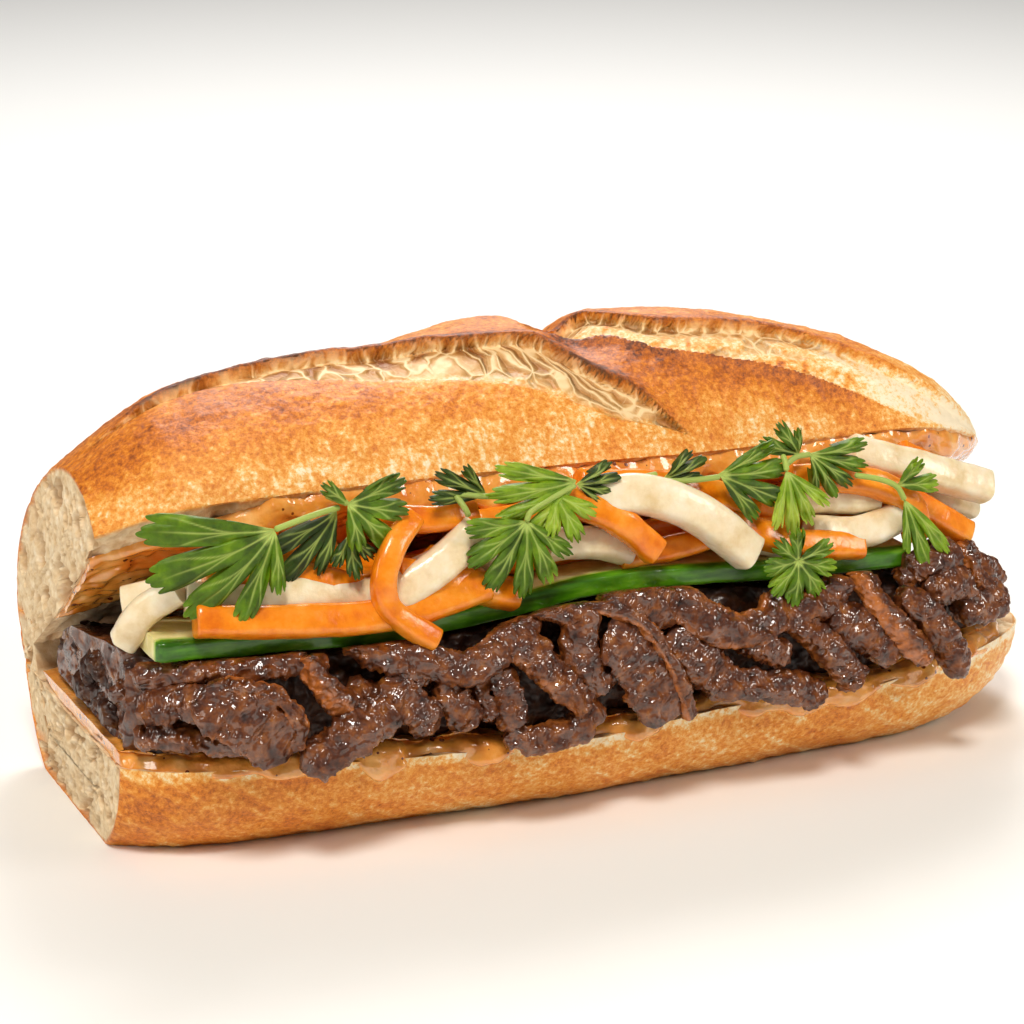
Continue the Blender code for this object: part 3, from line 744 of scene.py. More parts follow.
# Each strip: width, thickness, roll in degrees, share of orange rim, then the points it runs through.
STRIPS = (
    (8, 5, 20, 0.2, (-107, -4, 31), (-103, -14, 36), (-98, -23, 40)),
    (7, 5, 0, 0.2, (-106.5, -35, 39), (-93, -43, 41.5), (-84, -45, 41), (-74, -45, 42.5)),
    (7.5, 5.5, 0, 0.1, (-106, -37, 33.5), (-96, -45, 35.5), (-88, -48, 35)),
    (6.5, 5, 10, 0.1, (-106, -35, 27), (-95, -43, 27.5), (-85, -46, 26.5)),
    (12, 4, -20, 0.5, (-98, -47.5, 37), (-90, -51, 33.5), (-79.5, -50.5, 25)),
    (4.5, 4.5, 0, 1.0, (-93, -48.5, 39.5), (-84, -50, 37), (-78.5, -50, 30), (-80, -50.5, 25)),
    (9, 6.5, 0, 0.3, (-78.5, -50.5, 21.5), (-72, -52, 25), (-66, -52, 28.5), (-58.5, -49.5, 31.5)),
    (6, 5.5, 30, 0.9, (-74.5, -45, 43), (-73.5, -48, 38.5), (-70, -49.5, 34), (-66, -48.5, 31)),
    (7.5, 5, 0, 0.3, (-67, -44, 45), (-59, -47.5, 40.5), (-49, -47.5, 35)),
    (8.5, 5.5, 0, 0.2, (-61, -48, 35.5), (-56, -50, 31), (-50, -50.5, 25.5)),
    (8, 5, 10, 0.1, (-68, -47, 35), (-60, -48, 31), (-54, -48, 34)),
    (7.5, 6, 0, 0.4, (-48, -47.5, 36), (-46, -50, 30), (-42.5, -50.5, 24.5)),
    (5, 4.5, 0, 0.2, (-39, -47.5, 35), (-40, -49, 30), (-37.5, -49.5, 25)),
    (7.5, 5.5, -10, 0.4, (-61, -43, 46), (-52, -48.5, 39), (-44, -50, 36.5), (-35, -49, 40.5),
     (-27, -45, 45)),
    (8.5, 5, 15, 0.5, (-35, -48.5, 42), (-26, -51.5, 34), (-17.5, -51.5, 25)),
    (7, 5, 0, 0.2, (-37, -48.5, 36), (-35, -50.5, 29), (-34, -50.5, 22.5)),
    (6.5, 5, -15, 0.6, (-36, -50, 23), (-30, -51.5, 20.5), (-21, -51.5, 21.5), (-15.5, -50.5, 26.5)),
    (8, 5.5, 0, 0.5, (-29, -46, 48), (-19, -49, 44), (-20.5, -50.5, 37.5), (-13, -50.5, 28)),
    (16, 3.5, 0, 0.2, (-13, -50, 43), (-6, -51.5, 34), (1, -52, 20.5)),
    (3.6, 4, 0, 1.0, (-20, -48.5, 46.5), (-8, -51, 42.5), (-0.5, -52, 32), (4.5, -52, 20)),
    (12, 8, 0, 0.4, (-14, -45, 48), (-6, -47.5, 47), (2.5, -47, 40)),
    (8.5, 4.5, -10, 0.7, (0, -45, 48), (6, -49, 41), (14, -50.5, 37), (22, -50, 37), (28, -45.5, 41)),
    (9.5, 5.5, 0, 0.3, (-1, -48.5, 38), (6, -50.5, 32), (13, -51, 25.5)),
    (6.5, 6, 0, 0.4, (16, -48.5, 35), (22, -50.5, 32), (27.5, -50, 29.5)),
    (7, 6, 0, 0.5, (28, -48, 38), (36, -51, 30.5), (43.5, -51.5, 21.5)),
    (7.5, 5.5, 0, 0.2, (8, -50, 27), (18, -51, 25), (28, -51, 23), (35.5, -50.5, 19.5)),
    (7.5, 6, 0, 0.3, (25, -46.5, 36), (34, -48.5, 39), (43, -45, 44)),
    (10, 6, 0, 0.1, (36, -47, 37), (45, -49.5, 32.5), (54.5, -49, 26.5)),
    (6, 5, 35, 0.9, (45, -44, 47), (48, -49, 39), (53, -51, 32), (61, -50.5, 24)),
    (7.5, 5.5, 0, 0.4, (56, -42, 41), (64, -45.5, 44), (72, -42, 44.5)),
    (7, 5.5, 0, 0.3, (54, -48, 40), (62, -51, 32), (69.5, -50.5, 19.5)),
    (9, 6, 0, 0.2, (69, -46, 34), (77, -45, 33), (85, -39, 33.5)),
    (5.5, 5, 30, 0.9, (74.5, -39, 46), (76, -43, 39.5), (80, -43, 33)),
    (8, 6, 0, 0.2, (60, -47, 38), (68, -47, 39), (74, -44, 37)),
    (8, 6, 0, 0.3, (80, -37, 38), (88, -30, 34), (92, -20, 31)),
    (8, 6, 20, 0.2, (84, -14, 36), (92, -8, 30), (93, 4, 27)),
    (8, 5, 0, 0.2, (-106, -24, 26), (-104, -12, 28), (-106, 2, 27)),
    (7, 5, 0, 0.2, (-105, 4, 31), (-100, 12, 32), (-105, 18, 27)),
    (7, 5, 0, 0.1, (-106, -30, 33), (-103, -20, 32), (-106, -8, 35)),
)


def rod(bm, path, steps, sides, section, blunt, face=BEEF_FACE, roll=0.0):
    """A closed rod along the smooth curve through points. section(t, angle) gives (across, out) in mm."""
    points = [Vector(p) for p in path]
    far = [0.0]
    for a, b in zip(points, points[1:]):
        far.append(far[-1] + (b - a).length)
    rows = [[(s / far[-1], p[axis]) for s, p in zip(far, points)] for axis in range(3)]
    if blunt:
        caps = ((0.0, 0.0), (0.0, 0.5), (0.0, 0.9), (0.006, 1.0))
    else:
        reach = 0.5 * abs(section(0.5, 0)[0]) / far[-1]
        turns = [k * math.pi / 12 for k in range(6)]
        caps = tuple((reach * (1 - math.cos(turn)) * 1.6, math.sin(turn)) for turn in turns)
    first = caps[-1][0]
    stops = list(caps[:-1]) + [(first + (1 - 2 * first) * i / steps, 1.0) for i in range(steps + 1)]
    stops += [(1 - t, scale) for t, scale in caps[-2::-1]]
    made = bmesh.ops.create_grid(bm, x_segments=sides, y_segments=len(stops) - 1, size=1.0)["verts"]
    frames = []
    for t, scale in stops:
        at = Vector([table(row, t) for row in rows])
        after, before = min(1.0, t + 0.02), max(0.0, t - 0.02)
        ahead = Vector([table(row, after) - table(row, before) for row in rows]).normalized()
        across = ahead.cross(face).normalized()
        out = across.cross(ahead)
        c, s = math.cos(math.radians(roll)), math.sin(math.radians(roll))
        frames.append((t, scale, at, across * c + out * s, out * c - across * s))
    for vert in made:
        t, scale, at, across, out = frames[round((vert.co.y + 1) / 2 * (len(stops) - 1))]
        angle = 2 * math.pi * (round((vert.co.x + 1) / 2 * sides) % sides) / sides
        a, b = section(t, angle)
        vert.co = at + (across * a + out * b) * scale
    return made


def close_rods(bm):
    """Merges the rods' seams and ends, and turns their faces outwards."""
    bmesh.ops.remove_doubles(bm, verts=bm.verts[:], dist=0.004)
    bmesh.ops.recalc_face_normals(bm, faces=bm.faces[:])
    bm.normal_update()


def superellipse(angle, wide, thick, square):
    """(across, outwards) on a rounded rectangle of the width and thickness given."""
    c, s = math.cos(angle), math.sin(angle)
    return wide / 2 * math.copysign(abs(c) ** square, c), thick / 2 * math.copysign(abs(s) ** square, s)


beef, tree, shader = new_material("grilled_glazed_beef")
where = add(tree, "TexCoord").outputs["Object"]
# The attribute rim marks the strips' fatty edges. The attribute deep is painted shade, far back in the heap
# and inside it.
rim, deep = (add(tree, "Attribute", attribute_name=n).outputs["Fac"] for n in ("rim", "deep"))
mottle = add(tree, "TexNoise", {"Vector": where, "Scale": 330, "Detail": 5, "Roughness": 0.62})
meat_colour = add(tree, "ValToRGB", {0: mottle}, stops=(
    (0.28, "230a02"), (0.45, "512307"), (0.6, "7a4013"), (0.78, "a86a28")))
fat_noise = add(tree, "TexNoise", {"Vector": where, "Scale": 380, "Detail": 4, "Roughness": 0.6})
fat_edge = add(tree, "Math", {0: rim, 1: fat_noise}, operation="MULTIPLY")
fat_share = add(tree, "MapRange", {0: fat_edge, 1: 0.22, 2: 0.5, 4: 0.85})
fat_colour = add(tree, "Mix", {0: fat_noise, 6: linear("8a3f10"), 7: linear("d98238")}, data_type="RGBA")
meat = add(tree, "Mix", {0: fat_share, 6: meat_colour, 7: fat_colour}, data_type="RGBA")
# Painted shade: where deep is high, the meat is darkened nearly to black.
inner_meat = add(tree, "Mix", {0: deep, 6: meat, 7: linear("120502")}, data_type="RGBA")
tree.links.new(inner_meat.outputs[2], shader.inputs["Base Color"])
wet = add(tree, "TexNoise", {"Vector": where, "Scale": 220, "Detail": 1})
glaze = add(tree, "MapRange", {0: wet, 1: 0.35, 2: 0.6, 3: 0.35, 4: 1.0})
# Painted shade also thins the glaze there, so that the shaded meat reflects less.
dry = add(tree, "MapRange", {0: deep, 1: 0.1, 2: 0.8, 3: 1.0, 4: 0.1})
glaze = add(tree, "Math", {0: glaze, 1: dry}, operation="MULTIPLY")
tree.links.new(glaze.outputs[0], shader.inputs["Coat Weight"])
shader.inputs["Roughness"].default_value = 0.5
shader.inputs["Specular IOR Level"].default_value = 0.3
shader.inputs["Coat IOR"].default_value = 1.7
shader.inputs["Coat Roughness"].default_value = 0.1
# The glaze lies smoothly over wet pebbles of about 2 mm.
pebbles = add(tree, "TexNoise", {"Vector": where, "Scale": 500, "Detail": 0.6, "Roughness": 0.5})
glaze_bump = add(tree, "Bump", {"Height": pebbles, "Strength": 1.0, "Distance": 0.0011})
tree.links.new(glaze_bump.outputs[0], shader.inputs["Normal"])
tree.links.new(glaze_bump.outputs[0], shader.inputs["Coat Normal"])


def meat_strip(bm, rim_layer, seed, width, thick, roll, rim_share, *path):
    """One strip: flat sides, ragged edges, a little cupped, thinner and thicker along its length."""
    def section(t, angle):
        ragged = 1 + 0.14 * rough(t * 6, seed, 0, 1) + 0.12 * rough(t * 18, seed, 3, 1)
        a, b = superellipse(angle, width * ragged, thick * (1.1 + 0.3 * rough(t * 5, seed, 7, 1)), 0.78)
        cup = 0.12 * width * rough(t * 3, seed, 9, 1) * (2 * a / width) ** 2
        return a, b + cup

    made = rod(bm, path, 84, 52, section, False, roll=roll)
    for k, vert in enumerate(made):
        vert[rim_layer] = 0.12 + rim_share * abs(math.cos(2 * math.pi * (k % 53) / 52)) ** 2


def under_the_slice(x, y):
    """The height that the beef stays under, so that the cucumber's edge shows above it."""
    low = table([(row[0], row[2]) for row in CUCUMBER_LINE], x) - CUCUMBER_THICK / 2
    return low + (0.32 * (-43 - y) + 1.1 if y < -42 else -0.3)


groups = {}
for number, strip in enumerate(STRIPS):
    name = ("left", "middle", "right")[0 if strip[4][0] < -40 else 1 if strip[4][0] < 20 else 2]
    groups.setdefault(name, []).append((number, strip))
for name, strips in groups.items():
    bm = bmesh.new()
    rim_layer = bm.verts.layers.float.new("rim")
    deep_layer = bm.verts.layers.float.new("deep")
    for number, strip in strips:
        meat_strip(bm, rim_layer, number * 3.7, *strip)
    close_rods(bm)
    offsets = []
    for vert in bm.verts:
        x, y, z = vert.co
        pebble = 0.5 - abs(rough(x, y, z, 1.7)) * 2.4
        offsets.append(0.75 * rough(x, y, z, 3.6, 2) + 0.42 * pebble + 0.22 * rough(x, y, z, 0.8) - 0.35)
    for vert, offset in zip(bm.verts, offsets):
        vert.co += vert.normal * offset
        x, y, z = vert.co
        top = under_the_slice(x, y)
        if z > top - 2.5 and x < 58:
            vert.co.z = top - 2.5 * math.exp(-(z - top + 2.5) / 2.5)
        # Painted shade: strips lying further back from the front rim and lower in the heap are darker.
        vert[deep_layer] = ease(4, 12, y - front_rim(x)[0]) * ease(40, 35, z) * 0.7
    finish_piece(bm, "beef_strips_" + name, beef, ["beef"], sharp=80)


def beef_core_place(x, column, ring):
    """The inside of the heap, kept behind the strips and painted dark as shade."""
    rim_y, rim_z = front_rim(x)
    low = rim_z + 1.8
    front = rim_y + 4.5 + 1.2 * rough(x, 3, 0, 6)
    top = under_the_slice(x, -40) - 1.5 - 12 * ease(55, 90, x) + 1.0 * rough(x, 8, 2, 9)
    rows_y = ((0, front + 8), (0.2, front + 1), (0.4, front), (0.6, front + 2), (0.75, front + 9), (0.9, 16),
              (1, 18))
    rows_z = ((0, low), (0.2, low + 1), (0.4, low + 11), (0.6, top - 1), (0.75, top), (0.9, top - 8),
              (1, low))
    y, z = table(rows_y, column[1]), table(rows_z, column[1])
    scale = ring * ease(94, 86, x)
    return Vector((x, (y + 14) * (0.3 + 0.7 * scale) - 14, low + 5 + (z - low - 5) * scale))


core_columns = [(0.0, t) for t in spans((0, 1, 60))]
bm = wrap_sheet(core_columns, 14, spans((CUT_END + 2.5, 94, 200), (94, 95, 1)), beef_core_place)
deep_layer = bm.verts.layers.float.new("deep")
for vert in bm.verts:
    x, y, z = vert.co
    vert.co += vert.normal * (1.2 * rough(x, y, z, 5, 2) + 0.5 * rough(x, y, z, 1.7, 2))
    # Painted shade over the whole core, except near its end at the cut.
    vert[deep_layer] = 0.75 * ease(-107, -101, x)
finish_piece(bm, "beef_heap_core", beef, ["beef"], sharp=80)

# ---- Cucumber: one long slice, cut lengthwise from the side, so that its front edge is all skin.
# Wet pale flesh under a dark green, smooth, slightly waxy skin with lighter streaks.
cucumber, tree, shader = new_material("cucumber_flesh_and_skin")
where = add(tree, "TexCoord").outputs["Object"]
peel = add(tree, "Attribute", attribute_name="peel").outputs["Fac"]
stretched = add(tree, "Mapping", {"Vector": where, "Scale": (0.22, 1.0, 1.0)})
streaks = add(tree, "TexNoise", {"Vector": stretched, "Scale": 380, "Detail": 4})
skin_colour = add(tree, "ValToRGB", {0: streaks}, stops=(
    (0.3, "244a04"), (0.46, "3b7208"), (0.62, "5c9a12"), (0.78, "93bb3c")))
watery = add(tree, "TexNoise", {"Vector": where, "Scale": 210, "Detail": 4})
flesh_colour = add(tree, "ValToRGB", {0: watery}, stops=(
    (0.3, "d9d184"), (0.55, "ebdf9d"), (0.75, "f7eec0")))
under_peel = add(tree, "MapRange", {0: peel, 1: 0.25, 2: 0.5})
greener = add(tree, "Mix", {0: under_peel, 6: flesh_colour, 7: linear("a9bf4c")}, data_type="RGBA")
is_peel = add(tree, "MapRange", {0: peel, 1: 0.5, 2: 0.62})
slice_colour = add(tree, "Mix", {0: is_peel, 6: greener, 7: skin_colour}, data_type="RGBA")
tree.links.new(slice_colour.outputs[2], shader.inputs["Base Color"])
shader.inputs["Roughness"].default_value = 0.24
shader.inputs["Subsurface Weight"].default_value = 0.12
shader.inputs["Subsurface Scale"].default_value = 0.003
wet_skin = add(tree, "TexNoise", {"Vector": where, "Scale": 600, "Detail": 3})
bump = add(tree, "Bump", {"Height": wet_skin, "Strength": 0.25, "Distance": 0.0005})
tree.links.new(bump.outputs[0], shader.inputs["Normal"])

bm = bmesh.new()
peel_layer = bm.verts.layers.float.new("peel")


def slice_section(t, angle):
    return superellipse(angle, 17.4, CUCUMBER_THICK + 0.4 * rough(t * 9, 4, 0, 1), 0.32)


made = rod(bm, CUCUMBER_LINE, 230, 72, slice_section, True, face=Vector((0, 0, 1)))
for vert in made:
    vert[peel_layer] = ease(-38.5, -43.2, vert.co.y)
close_rods(bm)
for vert in bm.verts:
    x, y, z = vert.co
    vert.co += vert.normal * (0.22 * rough(x, y, z, 9) + 0.10 * rough(x, y, z, 2.5))
finish_piece(bm, "cucumber_slice", cucumber, ["cucumber"])

# ---- Pickles: sticks of carrot and daikon radish, 5 to 7 mm thick, limp from the vinegar, in a loose bundle.
# Both are cut square and have gone soft at the edges. Daikon turns glassy white, carrot stays orange.
DAIKON = (
    (6.0, (-106, -30, 44.5), (-103, -34, 51), (-97, -38, 56)),
    (6.5, (-96, -38, 54), (-84, -41, 52.5), (-74, -41, 53), (-59, -40, 50.5)),
    (7.2, (-56.5, -43.5, 50.5), (-47, -43.5, 55.5), (-38, -41, 61)),
    (6.8, (-50, -37, 52), (-40, -38, 55), (-33, -38, 54.5)),
    (6.4, (-22, -39, 56), (-12, -40, 55.5), (-4, -40, 53)),
    (7.8, (-15, -40, 64), (-4, -43, 65.5), (8, -45, 61), (20.5, -45.5, 50.8)),
    (6.2, (11, -38, 58), (24, -39, 53), (34, -39, 48.5)),
    (6.6, (37, -40, 52), (48, -41, 51), (57, -41, 53), (61, -39, 57)),
    (6.2, (36, -37, 58.5), (54, -38, 57)),
    (7.2, (50, -34, 66.5), (66, -37, 61.5), (82, -37, 56)),
    (6.5, (60, -30, 58), (76, -30, 52.5), (84, -28, 49.5)),
    (6.5, (-104, -24, 50), (-90, -30, 53), (-72, -31, 50)),
)
CARROT = (
    (6.6, (-96, -43.5, 51), (-75, -45, 48.8), (-55, -45, 48), (-37, -43.5, 51)),
    (4.8, (-51, -41, 65.5), (-56.5, -45, 61.5), (-59.5, -47, 56), (-59, -47.5, 50.5), (-55, -48, 46.5),
     (-49.5, -48.5, 42.5)),
    (5.6, (-80, -38, 58), (-70, -40, 55), (-62, -40, 51.5)),
    (5.4, (-56, -37, 65), (-46, -39, 64), (-37, -38, 64.5)),
    (6.6, (-55, -42, 54.5), (-42, -43, 51.5), (-30, -42, 47.5)),
    (5.8, (-20, -40, 66), (-9, -44, 61), (-0.5, -44.5, 53.5)),
    (6.2, (-14, -37, 67), (6, -38, 64.5), (25, -39, 58.5)),
    (5.4, (-6, -39, 51.5), (10, -40, 53), (24, -40, 57)),
    (5.8, (18, -41, 56), (33, -43, 51), (48, -42.5, 48.5)),
    (5.8, (34, -37, 63), (50, -40, 61.5), (60, -41.5, 56), (62.5, -41.5, 48.5)),
    (5.6, (50, -36, 62.5), (64, -38, 54.5), (77, -38, 46.5)),
    (5.4, (62, -34, 65), (77, -36, 57.5)),
    (5.4, (-92, -37, 58.5), (-76, -38, 58.5), (-66, -36, 61)),
    (5.6, (-102, -18, 47), (-88, -24, 51), (-70, -26, 56)),
    (5.6, (64, -24, 55), (80, -24, 49), (88, -18, 44)),
    (5.4, (-34, -33, 60), (-20, -34, 61), (-2, -33, 60)),
    (5.4, (22, -33, 60), (38, -33, 54), (50, -32, 52)),
)


def pickle_material(name, stops, inside):
    """Soaked root vegetable: glossy, slightly glassy, with fine lines along the stick."""
    made, tree, shader = new_material(name)
    where = add(tree, "TexCoord").outputs["Object"]
    lines = add(tree, "TexNoise", {"Vector": where, "Scale": 170, "Detail": 5, "Roughness": 0.6})
    colour = add(tree, "ValToRGB", {0: lines}, stops=stops)
    tree.links.new(colour.outputs[0], shader.inputs["Base Color"])
    shader.inputs["Roughness"].default_value = 0.26
    shader.inputs["Subsurface Weight"].default_value = inside
    shader.inputs["Subsurface Scale"].default_value = 0.004
    shader.inputs["Subsurface Radius"].default_value = (1.0, 0.6, 0.3)
    shader.inputs["Coat Weight"].default_value = 0.2
    shader.inputs["Coat Roughness"].default_value = 0.1
    skin = add(tree, "TexNoise", {"Vector": where, "Scale": 700, "Detail": 3})
    bump = add(tree, "Bump", {"Height": skin, "Strength": 0.3, "Distance": 0.0005})
    tree.links.new(bump.outputs[0], shader.inputs["Normal"])
    return made


daikon = pickle_material("pickled_daikon", ((0.3, "e0c493"), (0.5, "f0dcb6"), (0.75, "faeed6")), 0.25)
carrot = pickle_material("pickled_carrot", ((0.3, "dd6c08"), (0.5, "f38a10"), (0.75, "fba83e")), 0.2)


def stick_section(size, seed):
    def section(t, angle):
        a, b = superellipse(angle, size, size * (0.9 + 0.08 * rough(seed, 2, 0, 1)), 0.6)
        swell = 1 + 0.07 * rough(t * 5, seed, 0, 1)
        return a * swell, b * swell
    return section


for name, sticks, material in (("daikon_sticks", DAIKON, daikon), ("carrot_sticks", CARROT, carrot)):
    bm = bmesh.new()
    for number, (size, *path) in enumerate(sticks):
        seed = number * 2.3 + size
        rod(bm, path, 70, 32, stick_section(size, seed), True, roll=25 * rough(seed, 5, 0, 1))
    close_rods(bm)
    for vert in bm.verts:
        x, y, z = vert.co
        vert.co += vert.normal * (0.2 * rough(x, y, z, 6) + 0.08 * rough(x, y, z, 1.8))
    finish_piece(bm, name, material, ["pickles"])


def pickle_core_place(x, column, ring):
    """The inside of the bundle, kept behind the sticks."""
    t = (x + 100) / 186
    end = ring * math.sin(math.pi * min(1.0, max(0.0, t))) ** 0.4
    front, back, low = -37, -14, 50
    top = HINGE_Z + (HINGE_Y - front) * math.tan(LID_ANGLE) - 16
    angle = 2 * math.pi * column[1]
    y = (front + back) / 2 + (back - front) / 2 * math.cos(angle) * end
    z = (low + top) / 2 + (top - low) / 2 * math.sin(angle) * end
    return Vector((x, y, z - 0.35 * (y - front) + 1.2 * rough(x, y, 0, 7)))


bm = wrap_sheet([(0.0, t) for t in spans((0, 1, 40))], 2, spans((-100, 86, 90)) + [86], pickle_core_place)
for vert in bm.verts:
    x, y, z = vert.co
    vert.co += vert.normal * 1.2 * rough(x, y, z, 5, 2)
finish_piece(bm, "pickle_bundle_core", carrot, ["pickles"])

# ---- Coriander: thirteen leaves tucked in at the front, with their thin stalks and a few small leaflets.
# Soft, thin leaves: each a fan of wedge lobes with pale veins, split again and edged with round teeth.
LEAF_BACK = (0.0, 0.30, 0.08)
STALK = 1.2
LOBE_NOTCH = 1.7
TOOTH_DEEP = 0.85
LOBE_WIDEST = 20.0
FAN_BOW = 0.2

# Each leaf: its tone, which is painted light and shade (low for leaves lying in shade), then its fans, then
# its stalks. A fan is (the end of its stalk, its first lobe, its last lobe, the number of lobes), where a
# lobe is (degrees from straight down, length). The end of a fan's stalk is given from the middle of the
# leaf's node. The points that a stalk runs through are given from the end of the first fan's stalk.
LEAVES = {
    "coriander_big_left": (
        0.50, [((11, 3, 7), (-95, 26), (0, 13), 5)],
        [((14, 3, 2), (8, 0, 2), (0, 0, 0))]),
    "coriander_dark_left": (
        0.18, [((5, 2, 7), (-65, 15), (-20, 13), 3), ((7, 1, 2), (-35, 7), (45, 7), 3)],
        []),
    "coriander_light_left": (
        0.45, [((-5, 1, 3), (10, 10), (110, 12), 4), ((-5, 1, 3), (-130, 7), (-130, 7), 1)],
        [((-3, 4, 1), (0, 0, 0))]),
    "coriander_dark_upper": (
        0.16, [((4, -1, -1), (-140, 9), (-95, 13), 3)],
        [((-11, 0, 1), (-6, -1, 1), (0, -1, 0), (6, -1, 0)), ((-7, -1, 1), (-6, -3, -1), (-5, -3, -3))]),
    "coriander_middle": (
        0.48, [((2, 1, 5), (-90, 14), (50, 12), 6)],
        [((11, 1, 6), (5, 0, 4), (1, 0, 2), (0, 0, 0))]),
    "coriander_middle_top": (
        0.68, [((8, -1, 3), (-105, 17), (-50, 16), 4), ((3, -2, 1), (-10, 9), (60, 9), 3)],
        []),
    "coriander_dark_middle": (
        0.16, [((-7, 0, 1), (50, 7), (120, 8), 4)],
        [((8, 1, 0), (13, 0, 0), (18, 1, 0))]),
    "coriander_small_right": (
        0.18, [((-4, -1, -2), (90, 8), (135, 8), 3)],
        [((-2, -1, 0), (4, -3, 0), (11, -3, 0))]),
    "coriander_big_right": (
        0.40, [((-8, 0, 4), (40, 14), (115, 13), 4)],
        []),
    "coriander_lobe_right": (
        0.80, [((-10, -2, 10), (-15, 12), (50, 12), 4)],
        [((0, 2, 3), (0, 1, 2), (0, 0, 0))]),
    "coriander_top_right": (
        0.42, [((-10, 0, 3), (10, 8), (95, 13), 5), ((-12, 1, 3), (-170, 6), (-110, 11), 3)],
        [((-7, -1, -2), (-4, -1, 0), (0, 0, 0))]),
    "coriander_on_cucumber": (
        0.52, [((-1, -1, 3), (-170, 8), (115, 8), 8)],
        []),
    "coriander_far_right": (
        0.60, [((-5, 1, 7), (90, 9), (140, 7), 2), ((-4, 0, 4), (0, 11), (40, 16), 3)],
        [((-10, 1, 3), (-5, -1, 2), (-1, -1, 0), (1, -1, -3))]),
}


def leaf_material(name, light):
    """Coriander leaf: a dull green upper side with paler veins, its tone and its lobes' tones painted light
    and shade.
    """
    made, tree, shader = new_material(name)
    where = add(tree, "TexCoord").outputs["Object"]
    vein, lobe_light = (add(tree, "Attribute", attribute_name=n).outputs["Fac"] for n in ("vein", "light"))
    patches = add(tree, "TexNoise", {"Vector": where, "Scale": 170, "Detail": 4, "Roughness": 0.6})
    # Each lobe's tone is painted light and shade, on top of the leaf's own random patches.
    lit = add(tree, "Math", {0: patches, 1: lobe_light}, operation="ADD")
    tone = add(tree, "Math", {0: lit, 1: light - 0.5}, operation="ADD")
    green = add(tree, "ValToRGB", {0: tone}, stops=(
        (0.05, "1b2c00"), (0.35, "355000"), (0.55, "557800"), (0.75, "7f9f14"), (1.0, "acc040")))
    veined = add(tree, "Mix", {0: vein, 6: green, 7: linear("b3c664")}, data_type="RGBA")
    tree.links.new(veined.outputs[2], shader.inputs["Base Color"])
    shader.inputs["Roughness"].default_value = 0.48
    shader.inputs["Specular IOR Level"].default_value = 0.35
    shader.inputs["Subsurface Weight"].default_value = 0.1
    shader.inputs["Subsurface Scale"].default_value = 0.001
    cells = add(tree, "TexNoise", {"Vector": where, "Scale": 900, "Detail": 3})
    bump = add(tree, "Bump", {"Height": cells, "Strength": 0.35, "Distance": 0.0004})
    tree.links.new(bump.outputs[0], shader.inputs["Normal"])
    return made


def scallop(u, depth, power):
    """1 in the middle of a lobe or tooth, falling by depth to its edges at u = -1 and 1."""
    return 1 - depth * abs(u) ** power


def fan_lobes(first, last, count):
    """The lobes of a fan, evenly spread, the middle ones longer: (direction, length, half width)."""
    (start, long), (end, short) = first, last
    gaps = max(1, count - 1)
    half = min(LOBE_WIDEST, 0.48 * (end - start) / gaps) if count > 1 else LOBE_WIDEST
    bow = FAN_BOW * (long + short) / 2
    shares = [i / gaps for i in range(count)]
    return [(start + (end - start) * t, long + (short - long) * t + bow * math.sin(math.pi * t), half)
            for t in shares]


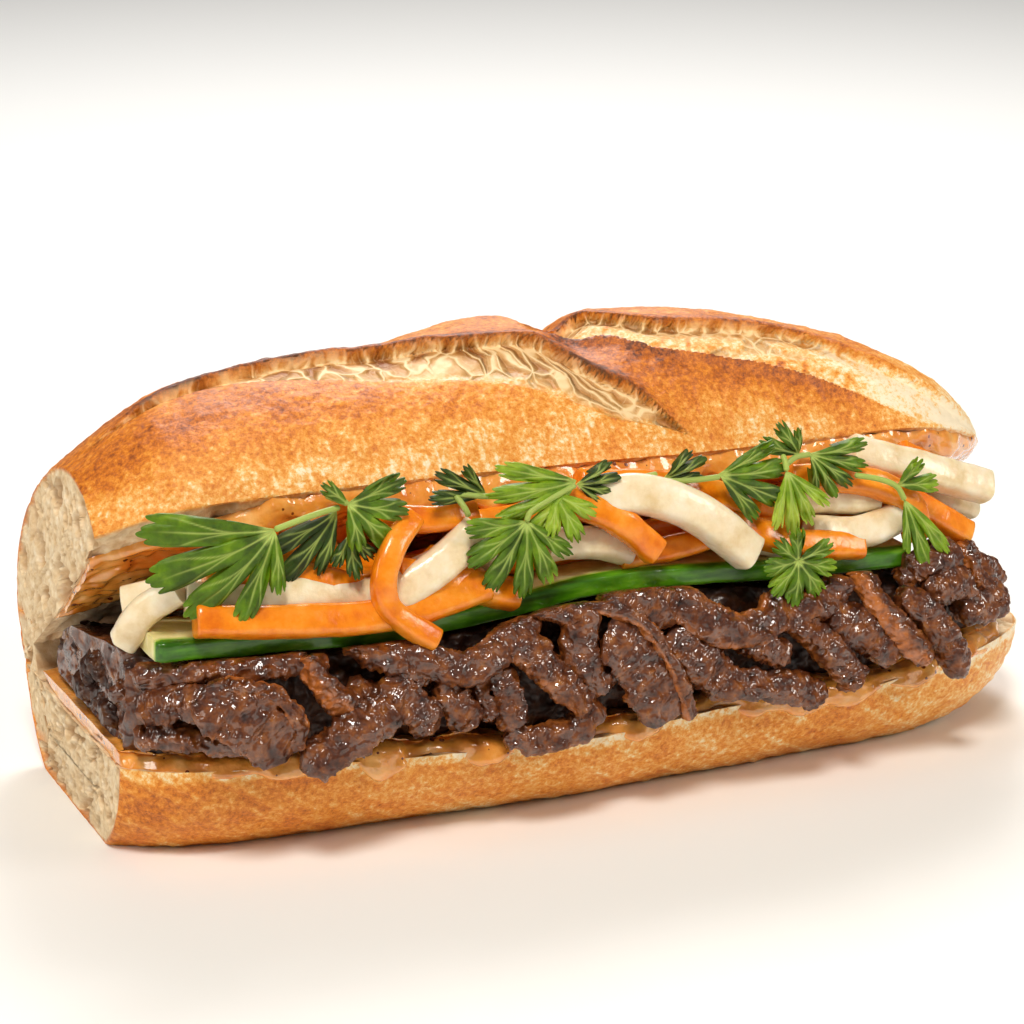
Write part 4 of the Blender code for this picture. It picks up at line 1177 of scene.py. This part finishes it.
def leaflet(bm, base, lobes, seed):
    """A fan of lobes from the end of a stalk, drooping forwards, with veins to every lobe and its splits."""
    vein_layer, light_layer = (bm.verts.layers.float[n] for n in ("vein", "light"))
    per_lobe, out = 48, 26
    around = per_lobe * len(lobes)
    made = bmesh.ops.create_grid(bm, x_segments=around, y_segments=out, size=1.0)["verts"]
    for vert in made:
        column = round((vert.co.x + 1) / 2 * around)
        reach = (vert.co.y + 1) / 2
        number = min(len(lobes) - 1, column // per_lobe)
        middle, long, half = lobes[number]
        off = 2 * (column - number * per_lobe) / per_lobe - 1
        teeth = 6 if long * math.sin(math.radians(half)) > 2.1 else 3
        tooth = (off + 1) / 2 * teeth
        w = 2 * (tooth - min(teeth - 1, int(tooth))) - 1
        sub = (off + 1) * 1.5
        v = 2 * (sub - min(2, int(sub))) - 1
        wander = 1 + 0.10 * rough(number * 3.1, seed, 0, 1) + 0.06 * rough(off * 2, seed, number, 1)
        # Towards the stalk every outline is a plain wedge, so that the splits stay open at the edge only.
        split = 1 - scallop(off, 0.46, 6) * scallop(off, 0.12, 2)
        notch = 1 - scallop(v, LOBE_NOTCH / long * (teeth > 3), 2.2) * scallop(w, TOOTH_DEEP / long, 2.0)
        r = long * wander * reach * (1 - split * ease(0.1, 0.9, reach)) * (1 - notch * ease(0.62, 1.0, reach))
        angle = math.radians(middle + half * off * (1.32 - 0.32 * reach))
        branch = 2 / 3 * ease(0.25, 0.85, reach)
        span = math.radians(half) * r
        near = min(abs(off) * span / 0.8, min(abs(off - branch), abs(off + branch)) * span / 0.6)
        vein = 0.65 * math.exp(-(near / 0.20) ** 2) * ease(1.0, 0.6, reach)
        vert[vein_layer] = min(0.9, vein + ease(0.16, 0.05, reach))
        # Painted light and shade: each lobe is lit to its own degree, and is lighter towards its tip.
        vert[light_layer] = 0.16 * rough(number * 7.7, seed, 2, 1) + 0.10 * (reach - 0.5)
        bulge = 2.6 * (1 - math.exp(-r / 5)) - 0.006 * r * r
        ruffle = 1.5 * rough(number * 5 + 1, reach * 1.7, seed, 1) * reach
        ruffle += 0.9 * rough(off * 1.8, reach * 3 + number, seed, 1) * reach - 1.1 * off * off * reach
        lift = bulge + ruffle - 0.25 * vein
        vert.co = base + Vector((r * math.sin(angle), -lift, -r * math.cos(angle)))


def stalk_section(t, angle):
    return STALK / 2 * math.cos(angle), STALK / 2 * math.sin(angle)


for number, (name, (light, fans, stalks)) in enumerate(LEAVES.items()):
    bm = bmesh.new()
    vein_layer, _ = (bm.verts.layers.float.new(n) for n in ("vein", "light"))
    low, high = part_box(name)
    middle = (low + high) / 2 / MM - SHIFT
    for k, (end, first, last, count) in enumerate(fans):
        leaflet(bm, middle + Vector(end), fan_lobes(first, last, count), 7.3 * number + k)
    bmesh.ops.remove_doubles(bm, verts=bm.verts[:], dist=0.01)
    back = bmesh.ops.extrude_face_region(bm, geom=bm.faces[:], use_keep_orig=True)["geom"]
    bmesh.ops.translate(bm, verts=[v for v in back if isinstance(v, bmesh.types.BMVert)], vec=LEAF_BACK)
    first_end = middle + Vector(fans[0][0])
    for path in stalks:
        for vert in rod(bm, [first_end + Vector(p) for p in path], 24, 12, stalk_section, False):
            vert[vein_layer] = 0.75
    close_rods(bm)
    finish_piece(bm, name + "_leaf", leaf_material(name + "_green", light), [name])
